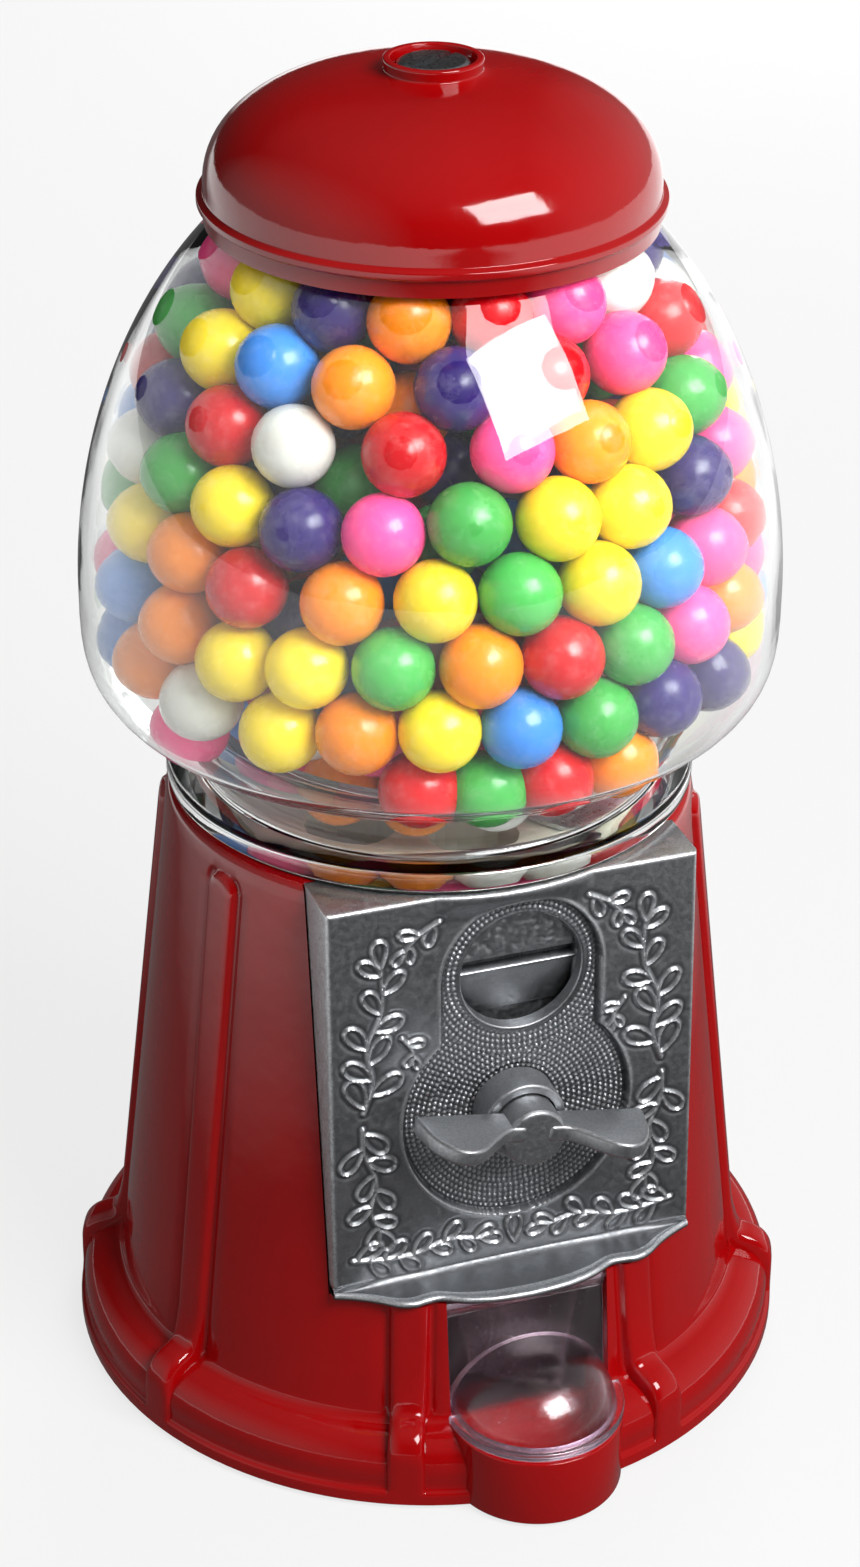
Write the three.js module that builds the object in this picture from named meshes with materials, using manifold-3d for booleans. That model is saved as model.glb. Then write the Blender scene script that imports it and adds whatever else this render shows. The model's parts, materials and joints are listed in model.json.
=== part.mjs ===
// Countertop gumball machine: a glass globe on a cast body, with a coin mechanism behind a cast front plate.
// Millimetres, +Z up, front towards -Y. Everything is drawn about the globe's axis, and the whole group is
// then set back so that the origin is the centre of the footprint on the surface that the machine stands on.
import * as THREE from 'three';
import { mergeVertices } from 'three/addons/utils/BufferGeometryUtils.js';
import Module from 'manifold-3d';

const wasm = await Module();
wasm.setup();

// ---------------------------------------------------------------- driving dimensions
const CLEARANCE = 0.3;            // air kept between neighbouring pieces
const TOTAL_HEIGHT = 280;
const FOOT_RADIUS = 76.1;         // flange round the bottom of the body
const BODY_BOTTOM = 0.8;          // the flange hangs this far above the surface, on rubber feet
const BODY_TOP = 131.0;           // seat of the globe's gasket
const WALL_TOP_RADIUS = 54.0;     // outside of the body's wall where the shoulder begins
const WALL_TOP = 127.3;
const WALL_TAPER = 0.1127;        // the wall spreads this much for each millimetre down
const WALL_THICKNESS = 3.0;
const FOOT_TOP = 15.3;            // where the wall meets the round top of the foot
const STRAP_COUNT = 8;
const STRAP_WIDTH = 7.4;
const STRAP_PROUD = 1.2;
const BORE_RADIUS = 44.0;         // well in the body's top that holds the gumball wheel
const DECK_TOP = 119.0;
const CHANNEL_RADIUS = 38.2;      // inside edge of the channel for the wheel's drive teeth

const CUP_RADIUS = 17.9;          // half-round cup under the door
const CUP_CENTRE_Y = -67.5;
const CUP_TOP = 16.3;
const CUP_WALL = 1.6;
const CHUTE_HALF_WIDTH = 17.3;    // opening behind the door

const PLATE_HALF_WIDTH = 38.4;
const PLATE_BOTTOM = 43.0;
const PLATE_TOP = 131.0;
const PLATE_TOP_Y = -49.8;        // front face at the top edge
const PLATE_LEAN = 0.0412;        // the front face comes forward this much for each millimetre down
const PLATE_THICKNESS = 3.2;
const PLATE_BACK_Y = -36.5;       // back edges of the plate's side walls
const PLATE_SIDE_WALL = 2.4;
const RECESS_DEPTH = 1.5;
const WINDOW = { x: 2.0, z: 110.5, radius: 12.6 };
const RING = { x: 1.5, z: 110.8, radius: 16.6 };   // recess round the coin window
const DIAL = { x: 0.6, z: 79.7, radius: 23.9 };    // recess round the handle
const AWNING_TOP = 46.6;
const AWNING_EDGE = 44.6;

const HANDLE_Z = 80.8;
const HANDLE_TILT = 10;           // degrees that the handle stands turned at rest
const HUB_RADIUS = 6.4;
const HUB_FRONT_Y = -64.4;
const BLADE_BACK_Y = -58.6;
const BLADE_TIP = 24.2;
const BLADE_THICKNESS = 3.5;
const BLADE_TOP = 3.0;            // above the handle's axis
const SHAFT_RADIUS = 2.9;

const PINION_TEETH = 8;
const IDLER_TEETH = 22;
const WHEEL_TEETH = 56;           // one turn of the handle moves the wheel on by one of its 7 pockets
const WHEEL_POCKETS = 7;
const MESH_Z = 118.2;             // height where the idler meets the wheel's teeth
const GEAR_MODULE = (MESH_Z - HANDLE_Z) * 2 / (PINION_TEETH + 2 * IDLER_TEETH);
const IDLER_Z = HANDLE_Z + GEAR_MODULE * (PINION_TEETH + IDLER_TEETH) / 2;
const GEAR_FRONT_Y = -43.2;
const GEAR_BACK_Y = -38.8;

const WHEEL_RADIUS = 43.3;
const WHEEL_BOTTOM = 119.7;
const WHEEL_TOP = 131.0;
const POCKET_CIRCLE = 28;
const POCKET_RADIUS = 9;
const DELIVERY_ANGLE = 50;        // degrees round from the front to the hole that the gumball drops through

const COIN_WHEEL_RADIUS = 18.5;
const COIN_WHEEL_FRONT_Y = -46.5;
const COIN_WHEEL_BACK_Y = -44.3;
const COIN_RADIUS = 9.8;
const RATCHET_TEETH = 20;
const PAWL_PIVOT = { x: 25.8, z: 94.8 };
const PAWL_TIP = { x: 17.3, z: 88.8 };

const GLOBE_RADIUS = 69.6;
const GLOBE_MIDDLE = 174;
const GLOBE_RISE = 92.4;          // half-height of the upper half, before the mouth is cut off
const GLOBE_DROP = 27;            // half-height of the flatter lower half
const GLOBE_SQUARENESS = 4;       // exponent of the lower half
const GLOBE_NECK_RADIUS = 47;
const GLOBE_FLANGE_RADIUS = 53.4;
const GLOBE_BOTTOM = 132.3;
const GLOBE_TOP = 250.2;
const GLASS = 2.6;

const LID_RADIUS = 43.9;
const LID_BOTTOM = 249.3;
const LID_BEAD_Z = 254.2;
const LID_DOME_RADIUS = 43.2;
const LID_DOME_TOP = 278.0;
const LID_BOSS_RADIUS = 9.45;
const LID_THICKNESS = 1.3;

const ROD_RADIUS = 3.0;
const ROD_BOTTOM = 0.6;
const ROD_TOP = 274;
const PLATE_UNDER_Z = 5.2;        // underside of the bottom plate
const HINGE_Y = -58.4;
const HINGE_Z = 40.0;
const DOME_RADIUS = 17.0;
const DOME_RISE = 0.8;            // height of the dome for its radius
const DOME_CENTRE_Y = -66.5;
const DOME_SHELL = 1.4;
const DOOR_BOTTOM = 16.6;

const SET_BACK = 4.45;            // from the globe's axis to the middle of the footprint

// ---------------------------------------------------------------- solids
function closed(geometry) {
  const bare = geometry.index ? geometry : geometry.clone();
  bare.deleteAttribute('normal');
  bare.deleteAttribute('uv');
  const merged = mergeVertices(bare, 1e-4);
  const place = merged.attributes.position.array;
  const corners = merged.index.array;
  const faces = [];
  let volume = 0;
  for (let i = 0; i < corners.length; i += 3) {
    const [a, b, c] = [corners[i], corners[i + 1], corners[i + 2]];
    if (a !== b && b !== c && c !== a) {
      faces.push(a, b, c);
      const [p, q, r] = [a, b, c].map((k) => new THREE.Vector3().fromArray(place, 3 * k));
      volume += p.dot(q.cross(r));
    }
  }
  if (volume < 0) faces.reverse();
  return new wasm.Manifold(new wasm.Mesh({
    numProp: 3,
    vertProperties: new Float32Array(place),
    triVerts: new Uint32Array(faces),
  }));
}

function join(first, ...others) {
  return others.reduce((sum, other) => sum.add(other), first);
}

function cut(first, ...others) {
  return others.reduce((rest, other) => rest.subtract(other), first);
}

// A turned solid: [radius, height] points that close on themselves or on the axis.
function turned(points, sides = 32) {
  const profile = points.map(([r, z]) => new THREE.Vector2(r, z));
  if (points[0][0] > 0 || points[points.length - 1][0] > 0) profile.push(profile[0].clone());
  return closed(new THREE.LatheGeometry(profile, sides).rotateX(Math.PI / 2));
}

function turnedAlongY(points, sides = 24) {
  const profile = points.map(([r, y]) => new THREE.Vector2(r, y));
  if (points[0][0] > 0 || points[points.length - 1][0] > 0) profile.push(profile[0].clone());
  return closed(new THREE.LatheGeometry(profile, sides));
}

function peg(radius, low, high, sides = 24) {
  return turned([[0, low], [radius, low], [radius, high], [0, high]], sides);
}

function pegAlongY(radius, front, back, x, z, sides = 20) {
  return turnedAlongY([[0, front], [radius, front], [radius, back], [0, back]], sides).translate([x, 0, z]);
}

function pegAlongX(radius, half, y, z, sides = 20) {
  const bar = new THREE.CylinderGeometry(radius, radius, 2 * half, sides).rotateZ(Math.PI / 2);
  return closed(bar).translate([0, y, z]);
}

function block(x0, x1, y0, y1, z0, z1) {
  const box = new THREE.BoxGeometry(x1 - x0, y1 - y0, z1 - z0);
  return closed(box.translate((x0 + x1) / 2, (y0 + y1) / 2, (z0 + z1) / 2));
}

function outline(points, holes = []) {
  const shape = new THREE.Shape(points.map(([a, b]) => new THREE.Vector2(a, b)));
  for (const hole of holes) shape.holes.push(new THREE.Path(hole.map(([a, b]) => new THREE.Vector2(a, b))));
  return shape;
}

// A plan outline in X and Y, raised from one height to another.
function raised(shape, low, high, curveSegments = 12) {
  const options = { depth: high - low, bevelEnabled: false, curveSegments };
  return closed(new THREE.ExtrudeGeometry(shape, options).translate(0, 0, low));
}

// A front-view outline in X and Z, from its front face back to another.
function fromFront(shape, front, back, curveSegments = 12) {
  const options = { depth: back - front, bevelEnabled: false, curveSegments };
  const geometry = new THREE.ExtrudeGeometry(shape, options).rotateX(Math.PI / 2);
  return closed(geometry.translate(0, back, 0));
}

// A side-view outline in Y and Z, across the machine.
function across(shape, half, curveSegments = 12) {
  const options = { depth: 2 * half, bevelEnabled: false, curveSegments };
  const turn = new THREE.Matrix4().makeBasis(
    new THREE.Vector3(0, 1, 0), new THREE.Vector3(0, 0, 1), new THREE.Vector3(1, 0, 0));
  return closed(new THREE.ExtrudeGeometry(shape, options).translate(0, 0, -half).applyMatrix4(turn));
}

function arc(cx, cy, radius, from, to, steps) {
  const points = [];
  for (let i = 0; i <= steps; i += 1) {
    const angle = THREE.MathUtils.degToRad(from + (to - from) * i / steps);
    points.push([cx + radius * Math.cos(angle), cy + radius * Math.sin(angle)]);
  }
  return points;
}

function polar(cx, cy, radius, degrees) {
  const angle = THREE.MathUtils.degToRad(degrees);
  return [cx + radius * Math.cos(angle), cy + radius * Math.sin(angle)];
}

function disc(cx, cy, radius, sides) {
  return arc(cx, cy, radius, 0, 360 - 360 / sides, sides - 1);
}

const machine = new THREE.Group();
machine.position.y = SET_BACK;

function piece(name, solid, colour, roughness, metalness) {
  const { vertProperties, triVerts } = solid.getMesh();
  const geometry = new THREE.BufferGeometry();
  geometry.setAttribute('position', new THREE.BufferAttribute(vertProperties, 3));
  geometry.setIndex(new THREE.BufferAttribute(triVerts, 1));
  geometry.computeVertexNormals();
  const mesh = new THREE.Mesh(geometry, new THREE.MeshStandardMaterial({ color: colour, roughness, metalness }));
  mesh.name = name;
  machine.add(mesh);
}

const enamel = (name, solid) => piece(name, solid, 0xa80c0c, 0.18, 0.0);
const castZinc = (name, solid) => piece(name, solid, 0x8a8c8e, 0.42, 1.0);
const steel = (name, solid) => piece(name, solid, 0xb9bcc0, 0.3, 1.0);
const rubber = (name, solid) => piece(name, solid, 0x1b1b1c, 0.85, 0.0);
const nylon = (name, solid) => piece(name, solid, 0xe9e4d4, 0.5, 0.0);
const blackPlastic = (name, solid) => piece(name, solid, 0x1d1b1c, 0.45, 0.0);
const clear = (name, solid) => piece(name, solid, 0xf2f6f7, 0.05, 0.0);

// ---------------------------------------------------------------- body
function wallRadius(z) {
  return WALL_TOP_RADIUS + (WALL_TOP - z) * WALL_TAPER;
}

function bodyShell() {
  const inside = (z) => wallRadius(z) - WALL_THICKNESS;
  return turned([
    [FOOT_RADIUS, BODY_BOTTOM], [FOOT_RADIUS, 3.6], [74.9, 4.8], [74.9, 10.8], [73.6, 13.0], [70.6, 14.5],
    [wallRadius(FOOT_TOP), FOOT_TOP], [WALL_TOP_RADIUS, WALL_TOP], [53.2, 129.5], [50.0, BODY_TOP],
    [BORE_RADIUS, BODY_TOP], [BORE_RADIUS, 116.4], [CHANNEL_RADIUS, 116.4], [CHANNEL_RADIUS, DECK_TOP],
    [4.5, DECK_TOP], [4.5, 116.4], [36.0, 116.4], [36.0, 113.4], [inside(113.4), 113.4],
    [inside(16), 16], [69.5, 10.5], [69.5, 6.8], [72.6, 6.8], [72.6, BODY_BOTTOM],
  ], 64);
}

// One pilaster: it runs down the wall and turns out over the foot as a rounded lug.
function strap(angle) {
  const proud = (z) => wallRadius(z) + STRAP_PROUD;
  const side = [
    [wallRadius(126.5) + 0.1, 126.5], [proud(124.5), 124.5], [proud(19.5), 19.5], [69.4, 17.2], [72.8, 16.4],
    [75.3, 14.4], [76.3, 11.6], [76.3, 4.4], [75.4, 3.2], [73.5, 3.2], [70.5, 12.5],
    [wallRadius(17) - 1.5, 17], [wallRadius(126.5) - 1.5, 126.5],
  ];
  return across(outline(side.map(([r, z]) => [-r, z])), STRAP_WIDTH / 2).rotate([0, 0, angle]);
}

function cup(radius, low, high) {
  const around = arc(0, CUP_CENTRE_Y, radius, 180, 360, 24);
  return raised(outline([...around, [radius, -56], [-radius, -56]]), low, high);
}

function screwPost(side, z) {
  const reach = Math.sqrt((wallRadius(z) - 1) ** 2 - 36 ** 2);
  const [x0, x1] = side > 0 ? [32, reach] : [-reach, -32];
  return cut(block(x0, x1, -36.1, -33.1, z - 4.5, z + 4.5), pegAlongY(2.0, -40, -30, side * 35.2, z));
}

const SCREW_HEIGHTS = [53, 106];

function body() {
  const straps = [];
  for (let i = 0; i < STRAP_COUNT; i += 1) straps.push(strap(22.5 + 45 * i));
  const pocketFloor = PLATE_BOTTOM - 0.4;
  const pocket = block(-PLATE_HALF_WIDTH - CLEARANCE, PLATE_HALF_WIDTH + CLEARANCE, -95,
    PLATE_BACK_Y + CLEARANCE, pocketFloor, 140);
  const opening = block(-CHUTE_HALF_WIDTH, CHUTE_HALF_WIDTH, -95, -50, CUP_TOP, pocketFloor + 1);
  const [holeX, holeY] = polar(0, 0, POCKET_CIRCLE, DELIVERY_ANGLE - 90);
  const delivery = peg(10, 112, 121, 24).translate([holeX, holeY, 0]);
  const shell = cut(join(bodyShell(), ...straps, cup(CUP_RADIUS, BODY_BOTTOM, CUP_TOP)), pocket, opening);
  const hollowCup = cup(CUP_RADIUS - CUP_WALL, BODY_BOTTOM + 2.2, CUP_TOP + 20)
    .add(block(-CUP_RADIUS + CUP_WALL, CUP_RADIUS - CUP_WALL, -60, -50, BODY_BOTTOM + 2.2, CUP_TOP + 20));
  const posts = [];
  for (const side of [-1, 1]) for (const z of SCREW_HEIGHTS) posts.push(screwPost(side, z));
  const pinHoles = pegAlongX(1.5, 20.5, HINGE_Y, HINGE_Z);
  const cupBack = block(-CUP_RADIUS + 1, CUP_RADIUS - 1, -56, -54.4, BODY_BOTTOM, 7.6);
  return join(cut(shell, delivery, hollowCup, pinHoles), cupBack, ...posts);
}

enamel('body', body());

// ---------------------------------------------------------------- front plate
function plateFrontY(z) {
  return PLATE_TOP_Y - PLATE_LEAN * (PLATE_TOP - z);
}

function lean(solid) {
  return solid.warp((v) => {
    v[1] -= PLATE_LEAN * (PLATE_TOP - v[2]);
  });
}

function keyhole(front, back) {
  const dial = fromFront(outline(disc(DIAL.x, DIAL.z, DIAL.radius, 48)), front, back);
  const ring = fromFront(outline(disc(RING.x, RING.z, RING.radius, 36)), front, back);
  const between = block(RING.x - RING.radius, RING.x + RING.radius, front, back, DIAL.z + 12, RING.z);
  return join(dial, ring, between);
}

function awning() {
  const half = [[38.4, 53.6], [31, 57.4], [27.5, 60.2], [22.5, 61.4], [18.5, 61.3], [13, 63.8], [6.5, 65.3]];
  const edge = [
    ...half.map(([x, y]) => [x, -y]), [0, -65.7], ...half.reverse().map(([x, y]) => [-x, -y]),
    [-PLATE_HALF_WIDTH, -51], [PLATE_HALF_WIDTH, -51],
  ];
  const slab = raised(outline(edge), PLATE_BOTTOM, AWNING_TOP);
  const slope = outline([
    [plateFrontY(AWNING_TOP), AWNING_TOP], [-66, AWNING_EDGE], [-80, AWNING_EDGE], [-80, 60], [-53, 60],
  ]);
  return slab.subtract(across(slope, 50));
}

function frontPlate() {
  const w = PLATE_HALF_WIDTH;
  const front = PLATE_TOP_Y;
  const back = front + PLATE_THICKNESS;
  const face = outline([[-w, PLATE_BOTTOM], [w, PLATE_BOTTOM], [w, PLATE_TOP], [-w, PLATE_TOP]]);
  const recess = keyhole(front - 1, front + RECESS_DEPTH);
  const window = fromFront(outline(disc(WINDOW.x, WINDOW.z, WINDOW.radius, 32)), front - 1, back + 1);
  const slab = lean(cut(fromFront(face, front, back), recess, window));
  const shelf = block(-w, w, front + 0.5, PLATE_BACK_Y, PLATE_TOP - 2.6, PLATE_TOP);
  const sides = [-1, 1].map((s) => block(
    Math.min(s * w, s * (w - PLATE_SIDE_WALL)), Math.max(s * w, s * (w - PLATE_SIDE_WALL)),
    front + 1.5, PLATE_BACK_Y, PLATE_BOTTOM, PLATE_TOP));
  const bosses = [];
  const bores = [];
  for (const s of [-1, 1]) {
    for (const z of SCREW_HEIGHTS) {
      bosses.push(block(Math.min(s * 32.2, s * 38), Math.max(s * 32.2, s * 38), -48.5, PLATE_BACK_Y, z - 4,
        z + 4));
      bores.push(pegAlongY(1.9, -46, -35, s * 35.2, z));
    }
    bosses.push(block(s * 24.7 - 2.2, s * 24.7 + 2.2, -50, -36.9, HANDLE_Z - 4, HANDLE_Z + 4));
    bores.push(pegAlongY(1.6, -44.5, -36, s * 24.7, HANDLE_Z));
  }
  const bulge = raised(outline([...arc(0, 0, 52.0, 251, 289, 14), [16.9, -48], [-16.9, -48]]), 127.6, PLATE_TOP);
  const whole = join(slab, shelf, ...sides, ...bosses, bulge, awning());
  const well = peg(BORE_RADIUS, 120, 140, 64);
  const shaftHole = pegAlongY(SHAFT_RADIUS + CLEARANCE, -60, -45, 0, HANDLE_Z);
  return cut(whole, well, shaftHole, ...bores);
}

castZinc('front_plate', frontPlate());

function plateScrew(side, z) {
  const turnedScrew = turnedAlongY([[0, -44], [1.6, -44], [1.6, -32.8], [3.0, -32.8], [3.0, -31.3], [2.2, -30.7],
    [0, -30.7]], 16);
  const slot = block(-3.2, 3.2, -31.5, -30, -0.4, 0.4);
  return turnedScrew.subtract(slot).translate([side * 35.2, 0, z]);
}

[[-1, 0], [1, 0], [-1, 1], [1, 1]].forEach(([side, row], i) => {
  steel(`plate_screw_${i + 1}`, plateScrew(side, SCREW_HEIGHTS[row]));
});

// ---------------------------------------------------------------- coin mechanism
function coinRamp() {
  const frame = block(-14.8, 14.8, -46.3, -43.8, 99.8, 126.2);
  const slit = block(-12.4, 12.4, -47, -43, 110.6, 112.6);
  const scoop = pegAlongX(5.6, 12.4, -50.4, 104.6, 32);
  const apron = block(-13, 13, -43.9, -43.45, 90, 104);   // behind the coin wheel's notch
  const axleHole = pegAlongY(4.6, -43.8, -43, -WINDOW.x, IDLER_Z);
  return cut(join(cut(frame, slit, scoop), apron), axleHole).translate([WINDOW.x, 0, 0]);
}

castZinc('coin_ramp', coinRamp());

function gearOutline(teeth, centreZ, firstTooth) {
  const pitchRadius = GEAR_MODULE * teeth / 2;
  const tip = pitchRadius + 0.8 * GEAR_MODULE;
  const root = pitchRadius - 1.1 * GEAR_MODULE;
  const points = [];
  for (let i = 0; i < teeth; i += 1) {
    const middle = firstTooth + 360 * i / teeth;
    for (const [radius, share] of [[root, -0.27], [tip, -0.09], [tip, 0.09], [root, 0.27]]) {
      points.push(polar(0, centreZ, radius, middle + 360 * share / teeth));
    }
  }
  return points;
}

function gear(teeth, centreZ, firstTooth, bore) {
  const shape = outline(gearOutline(teeth, centreZ, firstTooth), [disc(0, centreZ, bore, 20)]);
  return fromFront(shape, GEAR_FRONT_Y, GEAR_BACK_Y);
}

nylon('drive_pinion', gear(PINION_TEETH, HANDLE_Z, 90 + 180 / PINION_TEETH, SHAFT_RADIUS + CLEARANCE));
nylon('idler_gear', gear(IDLER_TEETH, IDLER_Z, 90, 2.7));

function coinWheel() {
  const rim = [];
  for (let i = 0; i < RATCHET_TEETH; i += 1) {
    const from = 360 * i / RATCHET_TEETH - 18;
    rim.push(polar(0, HANDLE_Z, COIN_WHEEL_RADIUS - 1.6, from));
    rim.push(polar(0, HANDLE_Z, COIN_WHEEL_RADIUS, from + 16));
  }
  const wheel = fromFront(outline(rim, [disc(0, HANDLE_Z, SHAFT_RADIUS + CLEARANCE, 20)]),
    COIN_WHEEL_FRONT_Y, COIN_WHEEL_BACK_Y);
  const coinPocket = pegAlongY(COIN_RADIUS, -50, -40, 0, HANDLE_Z + COIN_WHEEL_RADIUS - 4, 28);
  return wheel.subtract(coinPocket);
}

castZinc('coin_wheel', coinWheel());

function pawl() {
  const { x, z } = PAWL_PIVOT;
  const body = outline([
    [PAWL_TIP.x, PAWL_TIP.z], [x - 5.5, z - 6.6], [x - 2.0, z - 4.6], ...arc(x, z, 3.2, -35, 145, 10),
    [x - 6.5, z - 1.4],
  ], [disc(x, z, 1.5, 14)]);
  return fromFront(body, COIN_WHEEL_FRONT_Y + 0.1, COIN_WHEEL_BACK_Y - 0.1);
}

steel('pawl', pawl());
steel('pawl_pin', pegAlongY(1.2, -47.7, -42.0, PAWL_PIVOT.x, PAWL_PIVOT.z, 14));

class Helix extends THREE.Curve {
  getPoint(t) {
    const angle = 2 * Math.PI * 2.25 * t;
    const y = COIN_WHEEL_BACK_Y + 0.6 + 1.5 * t;
    return new THREE.Vector3(PAWL_PIVOT.x + 2.3 * Math.cos(angle), y, PAWL_PIVOT.z + 2.3 * Math.sin(angle));
  }
}

function pawlSpring() {
  const wire = outline(disc(0, 0, 0.28, 6));
  return closed(new THREE.ExtrudeGeometry(wire, { steps: 30, extrudePath: new Helix(), bevelEnabled: false }));
}

steel('pawl_spring', pawlSpring());

function gearBracket() {
  const arm = [[-28, HANDLE_Z - 5], [28, HANDLE_Z - 5], [28, HANDLE_Z + 5], [7, HANDLE_Z + 9], [6, IDLER_Z + 6],
    [-6, IDLER_Z + 6], [-7, HANDLE_Z + 9], [-28, HANDLE_Z + 5]];
  const holes = [disc(0, HANDLE_Z, SHAFT_RADIUS + CLEARANCE, 20), disc(0, IDLER_Z, 2.2, 16),
    disc(24.7, HANDLE_Z, 1.7, 14), disc(-24.7, HANDLE_Z, 1.7, 14)];
  return fromFront(outline(arm, holes), -36.6, -34.6);
}

steel('gear_bracket', gearBracket());
for (const [i, x] of [-24.7, 24.7].entries()) {
  const screw = turnedAlongY([[0, -44], [1.3, -44], [1.3, -34.3], [2.6, -34.3], [2.6, -32.8], [0, -32.8]], 14);
  steel(`bracket_screw_${i + 1}`, screw.subtract(block(-3, 3, -33.4, -32, -0.35, 0.35)).translate([x, 0, HANDLE_Z]));
}

steel('idler_axle', turnedAlongY([[0, -43.6], [2.4, -43.6], [2.4, -36.9], [1.9, -36.9], [1.9, -34.3], [2.9, -34.3],
  [2.4, -33.5], [0, -33.5]], 18).translate([0, 0, IDLER_Z]));

// ---------------------------------------------------------------- handle
function bladeOutline(side) {
  const half = [[0, 0], [0.4, 4], [1.6, 8.6], [4, 12.3], [7, 13.7], [10, 12.8], [14.5, 8.9], [18.6, 5.8],
    [22, 5.6], [22, 0]];
  return outline(half.map(([inward, forward]) => [side * (BLADE_TIP - inward), BLADE_BACK_Y - forward]));
}

function handle() {
  const hub = turnedAlongY([[0, HUB_FRONT_Y], [HUB_RADIUS - 0.4, HUB_FRONT_Y], [HUB_RADIUS, HUB_FRONT_Y + 0.4],
    [HUB_RADIUS, -52.2], [0, -52.2]], 32);
  const blades = [-1, 1].map((side) => raised(bladeOutline(side), BLADE_TOP - BLADE_THICKNESS, BLADE_TOP));
  const bore = pegAlongY(SHAFT_RADIUS + CLEARANCE, -61, -50, 0, 0);
  return cut(join(hub, ...blades), bore).rotate([0, HANDLE_TILT, 0]).translate([0, 0, HANDLE_Z]);
}

castZinc('handle', handle());
castZinc('handle_collar', turnedAlongY([[6.9, -58.1], [8.2, -58.1], [8.6, -57.7], [8.6, -51.1], [6.9, -51.1]], 32)
  .translate([0, 0, HANDLE_Z]));
steel('handle_shaft', turnedAlongY([[0, -60.7], [SHAFT_RADIUS, -60.7], [SHAFT_RADIUS, -34.3], [2.2, -34.3],
  [2.2, -33.1], [SHAFT_RADIUS, -33.1], [SHAFT_RADIUS, -32.2], [0, -32.2]], 20).translate([0, 0, HANDLE_Z]));
steel('shaft_clip', turnedAlongY([[2.5, -34.0], [5.0, -34.0], [5.0, -33.4], [2.5, -33.4]], 20)
  .translate([0, 0, HANDLE_Z]));

// ---------------------------------------------------------------- gumball wheel
function driveTooth(angle) {
  const pitch = Math.PI * GEAR_MODULE;
  const tip = MESH_Z - 0.8 * GEAR_MODULE;
  const side = outline([[-0.25 * pitch, WHEEL_BOTTOM + 0.5], [-0.25 * pitch, WHEEL_BOTTOM], [-0.1 * pitch, tip],
    [0.1 * pitch, tip], [0.25 * pitch, WHEEL_BOTTOM], [0.25 * pitch, WHEEL_BOTTOM + 0.5]]);
  return fromFront(side, -WHEEL_RADIUS + 0.3, -CHANNEL_RADIUS - 0.6).rotate([0, 0, angle]);
}

function gumballWheel() {
  const pockets = [];
  for (let i = 0; i < WHEEL_POCKETS; i += 1) {
    const angle = DELIVERY_ANGLE + 360 * i / WHEEL_POCKETS - 90;
    const [x, y] = polar(0, 0, POCKET_CIRCLE, angle);
    pockets.push(disc(x, y, POCKET_RADIUS, 20).reverse());
  }
  const plate = outline(disc(0, 0, WHEEL_RADIUS, 56), [...pockets, disc(0, 0, 3.8, 20).reverse()]);
  const teeth = [];
  for (let i = 0; i < WHEEL_TEETH; i += 1) teeth.push(driveTooth(360 * (i + 0.5) / WHEEL_TEETH));
  return join(raised(plate, WHEEL_BOTTOM, WHEEL_TOP), ...teeth);
}

nylon('gumball_wheel', gumballWheel());

// A steel cover that lies over the delivery hole, so that only the gumball in the pocket drops.
function ballGuard() {
  const cover = [...arc(0, 0, 42.5, DELIVERY_ANGLE - 90 - 24, DELIVERY_ANGLE - 90 + 24, 12),
    ...arc(0, 0, 8.5, DELIVERY_ANGLE - 90 + 60, DELIVERY_ANGLE - 90 + 300, 16)];
  return raised(outline(cover, [disc(0, 0, 3.4, 16).reverse()]), WHEEL_TOP + 0.5, WHEEL_TOP + 1.5);
}

steel('ball_guard', ballGuard());

function hexNut(acrossCorners, low, high) {
  return raised(outline(disc(0, 0, acrossCorners, 6), [disc(0, 0, ROD_RADIUS + CLEARANCE, 16).reverse()]), low, high);
}

steel('wheel_nut', hexNut(6.3, WHEEL_TOP + 1.8, WHEEL_TOP + 5.2));

// ---------------------------------------------------------------- gumball chute
const [DROP_X, DROP_Y] = polar(0, 0, POCKET_CIRCLE, DELIVERY_ANGLE - 90);

// A straight tube under the delivery hole.
function dropTube() {
  const ring = outline(disc(DROP_X, DROP_Y, 10.6, 20), [disc(DROP_X, DROP_Y, 9.4, 20).reverse()]);
  return raised(ring, 76, 113.1);
}

// An open channel that slopes from under the tube to the cup, drawn along its own slope.
function chuteTrough() {
  const top = new THREE.Vector3(DROP_X, DROP_Y, 69);
  const along = new THREE.Vector3(0, -54, 17).sub(top);
  const length = along.length();
  along.normalize();
  const aside = new THREE.Vector3(-along.y, along.x, 0).normalize();
  const up = new THREE.Vector3().crossVectors(along, aside);
  const section = outline([[-10.7, -10.2], [10.7, -10.2], [10.7, 1], [9.5, 1], [9.5, -9], [-9.5, -9], [-9.5, 1],
    [-10.7, 1]]);
  const channel = new THREE.ExtrudeGeometry(section, { depth: length + 8.5, bevelEnabled: false });
  const slope = new THREE.Matrix4().makeBasis(aside, up, along).setPosition(top);
  return closed(channel.translate(0, 0, -5.5).applyMatrix4(slope));
}

blackPlastic('drop_tube', dropTube());
blackPlastic('chute_trough', chuteTrough());

// ---------------------------------------------------------------- chute door
function domeSolid(radius) {
  const ball = closed(new THREE.SphereGeometry(radius, 32, 20)).translate([0, DOME_CENTRE_Y, 0]);
  const barrel = turnedAlongY([[0, DOME_CENTRE_Y], [radius, DOME_CENTRE_Y], [radius, -57], [0, -57]], 32);
  return ball.add(barrel).scale([1, 1, DOME_RISE]).translate([0, 0, DOOR_BOTTOM]);
}

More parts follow.
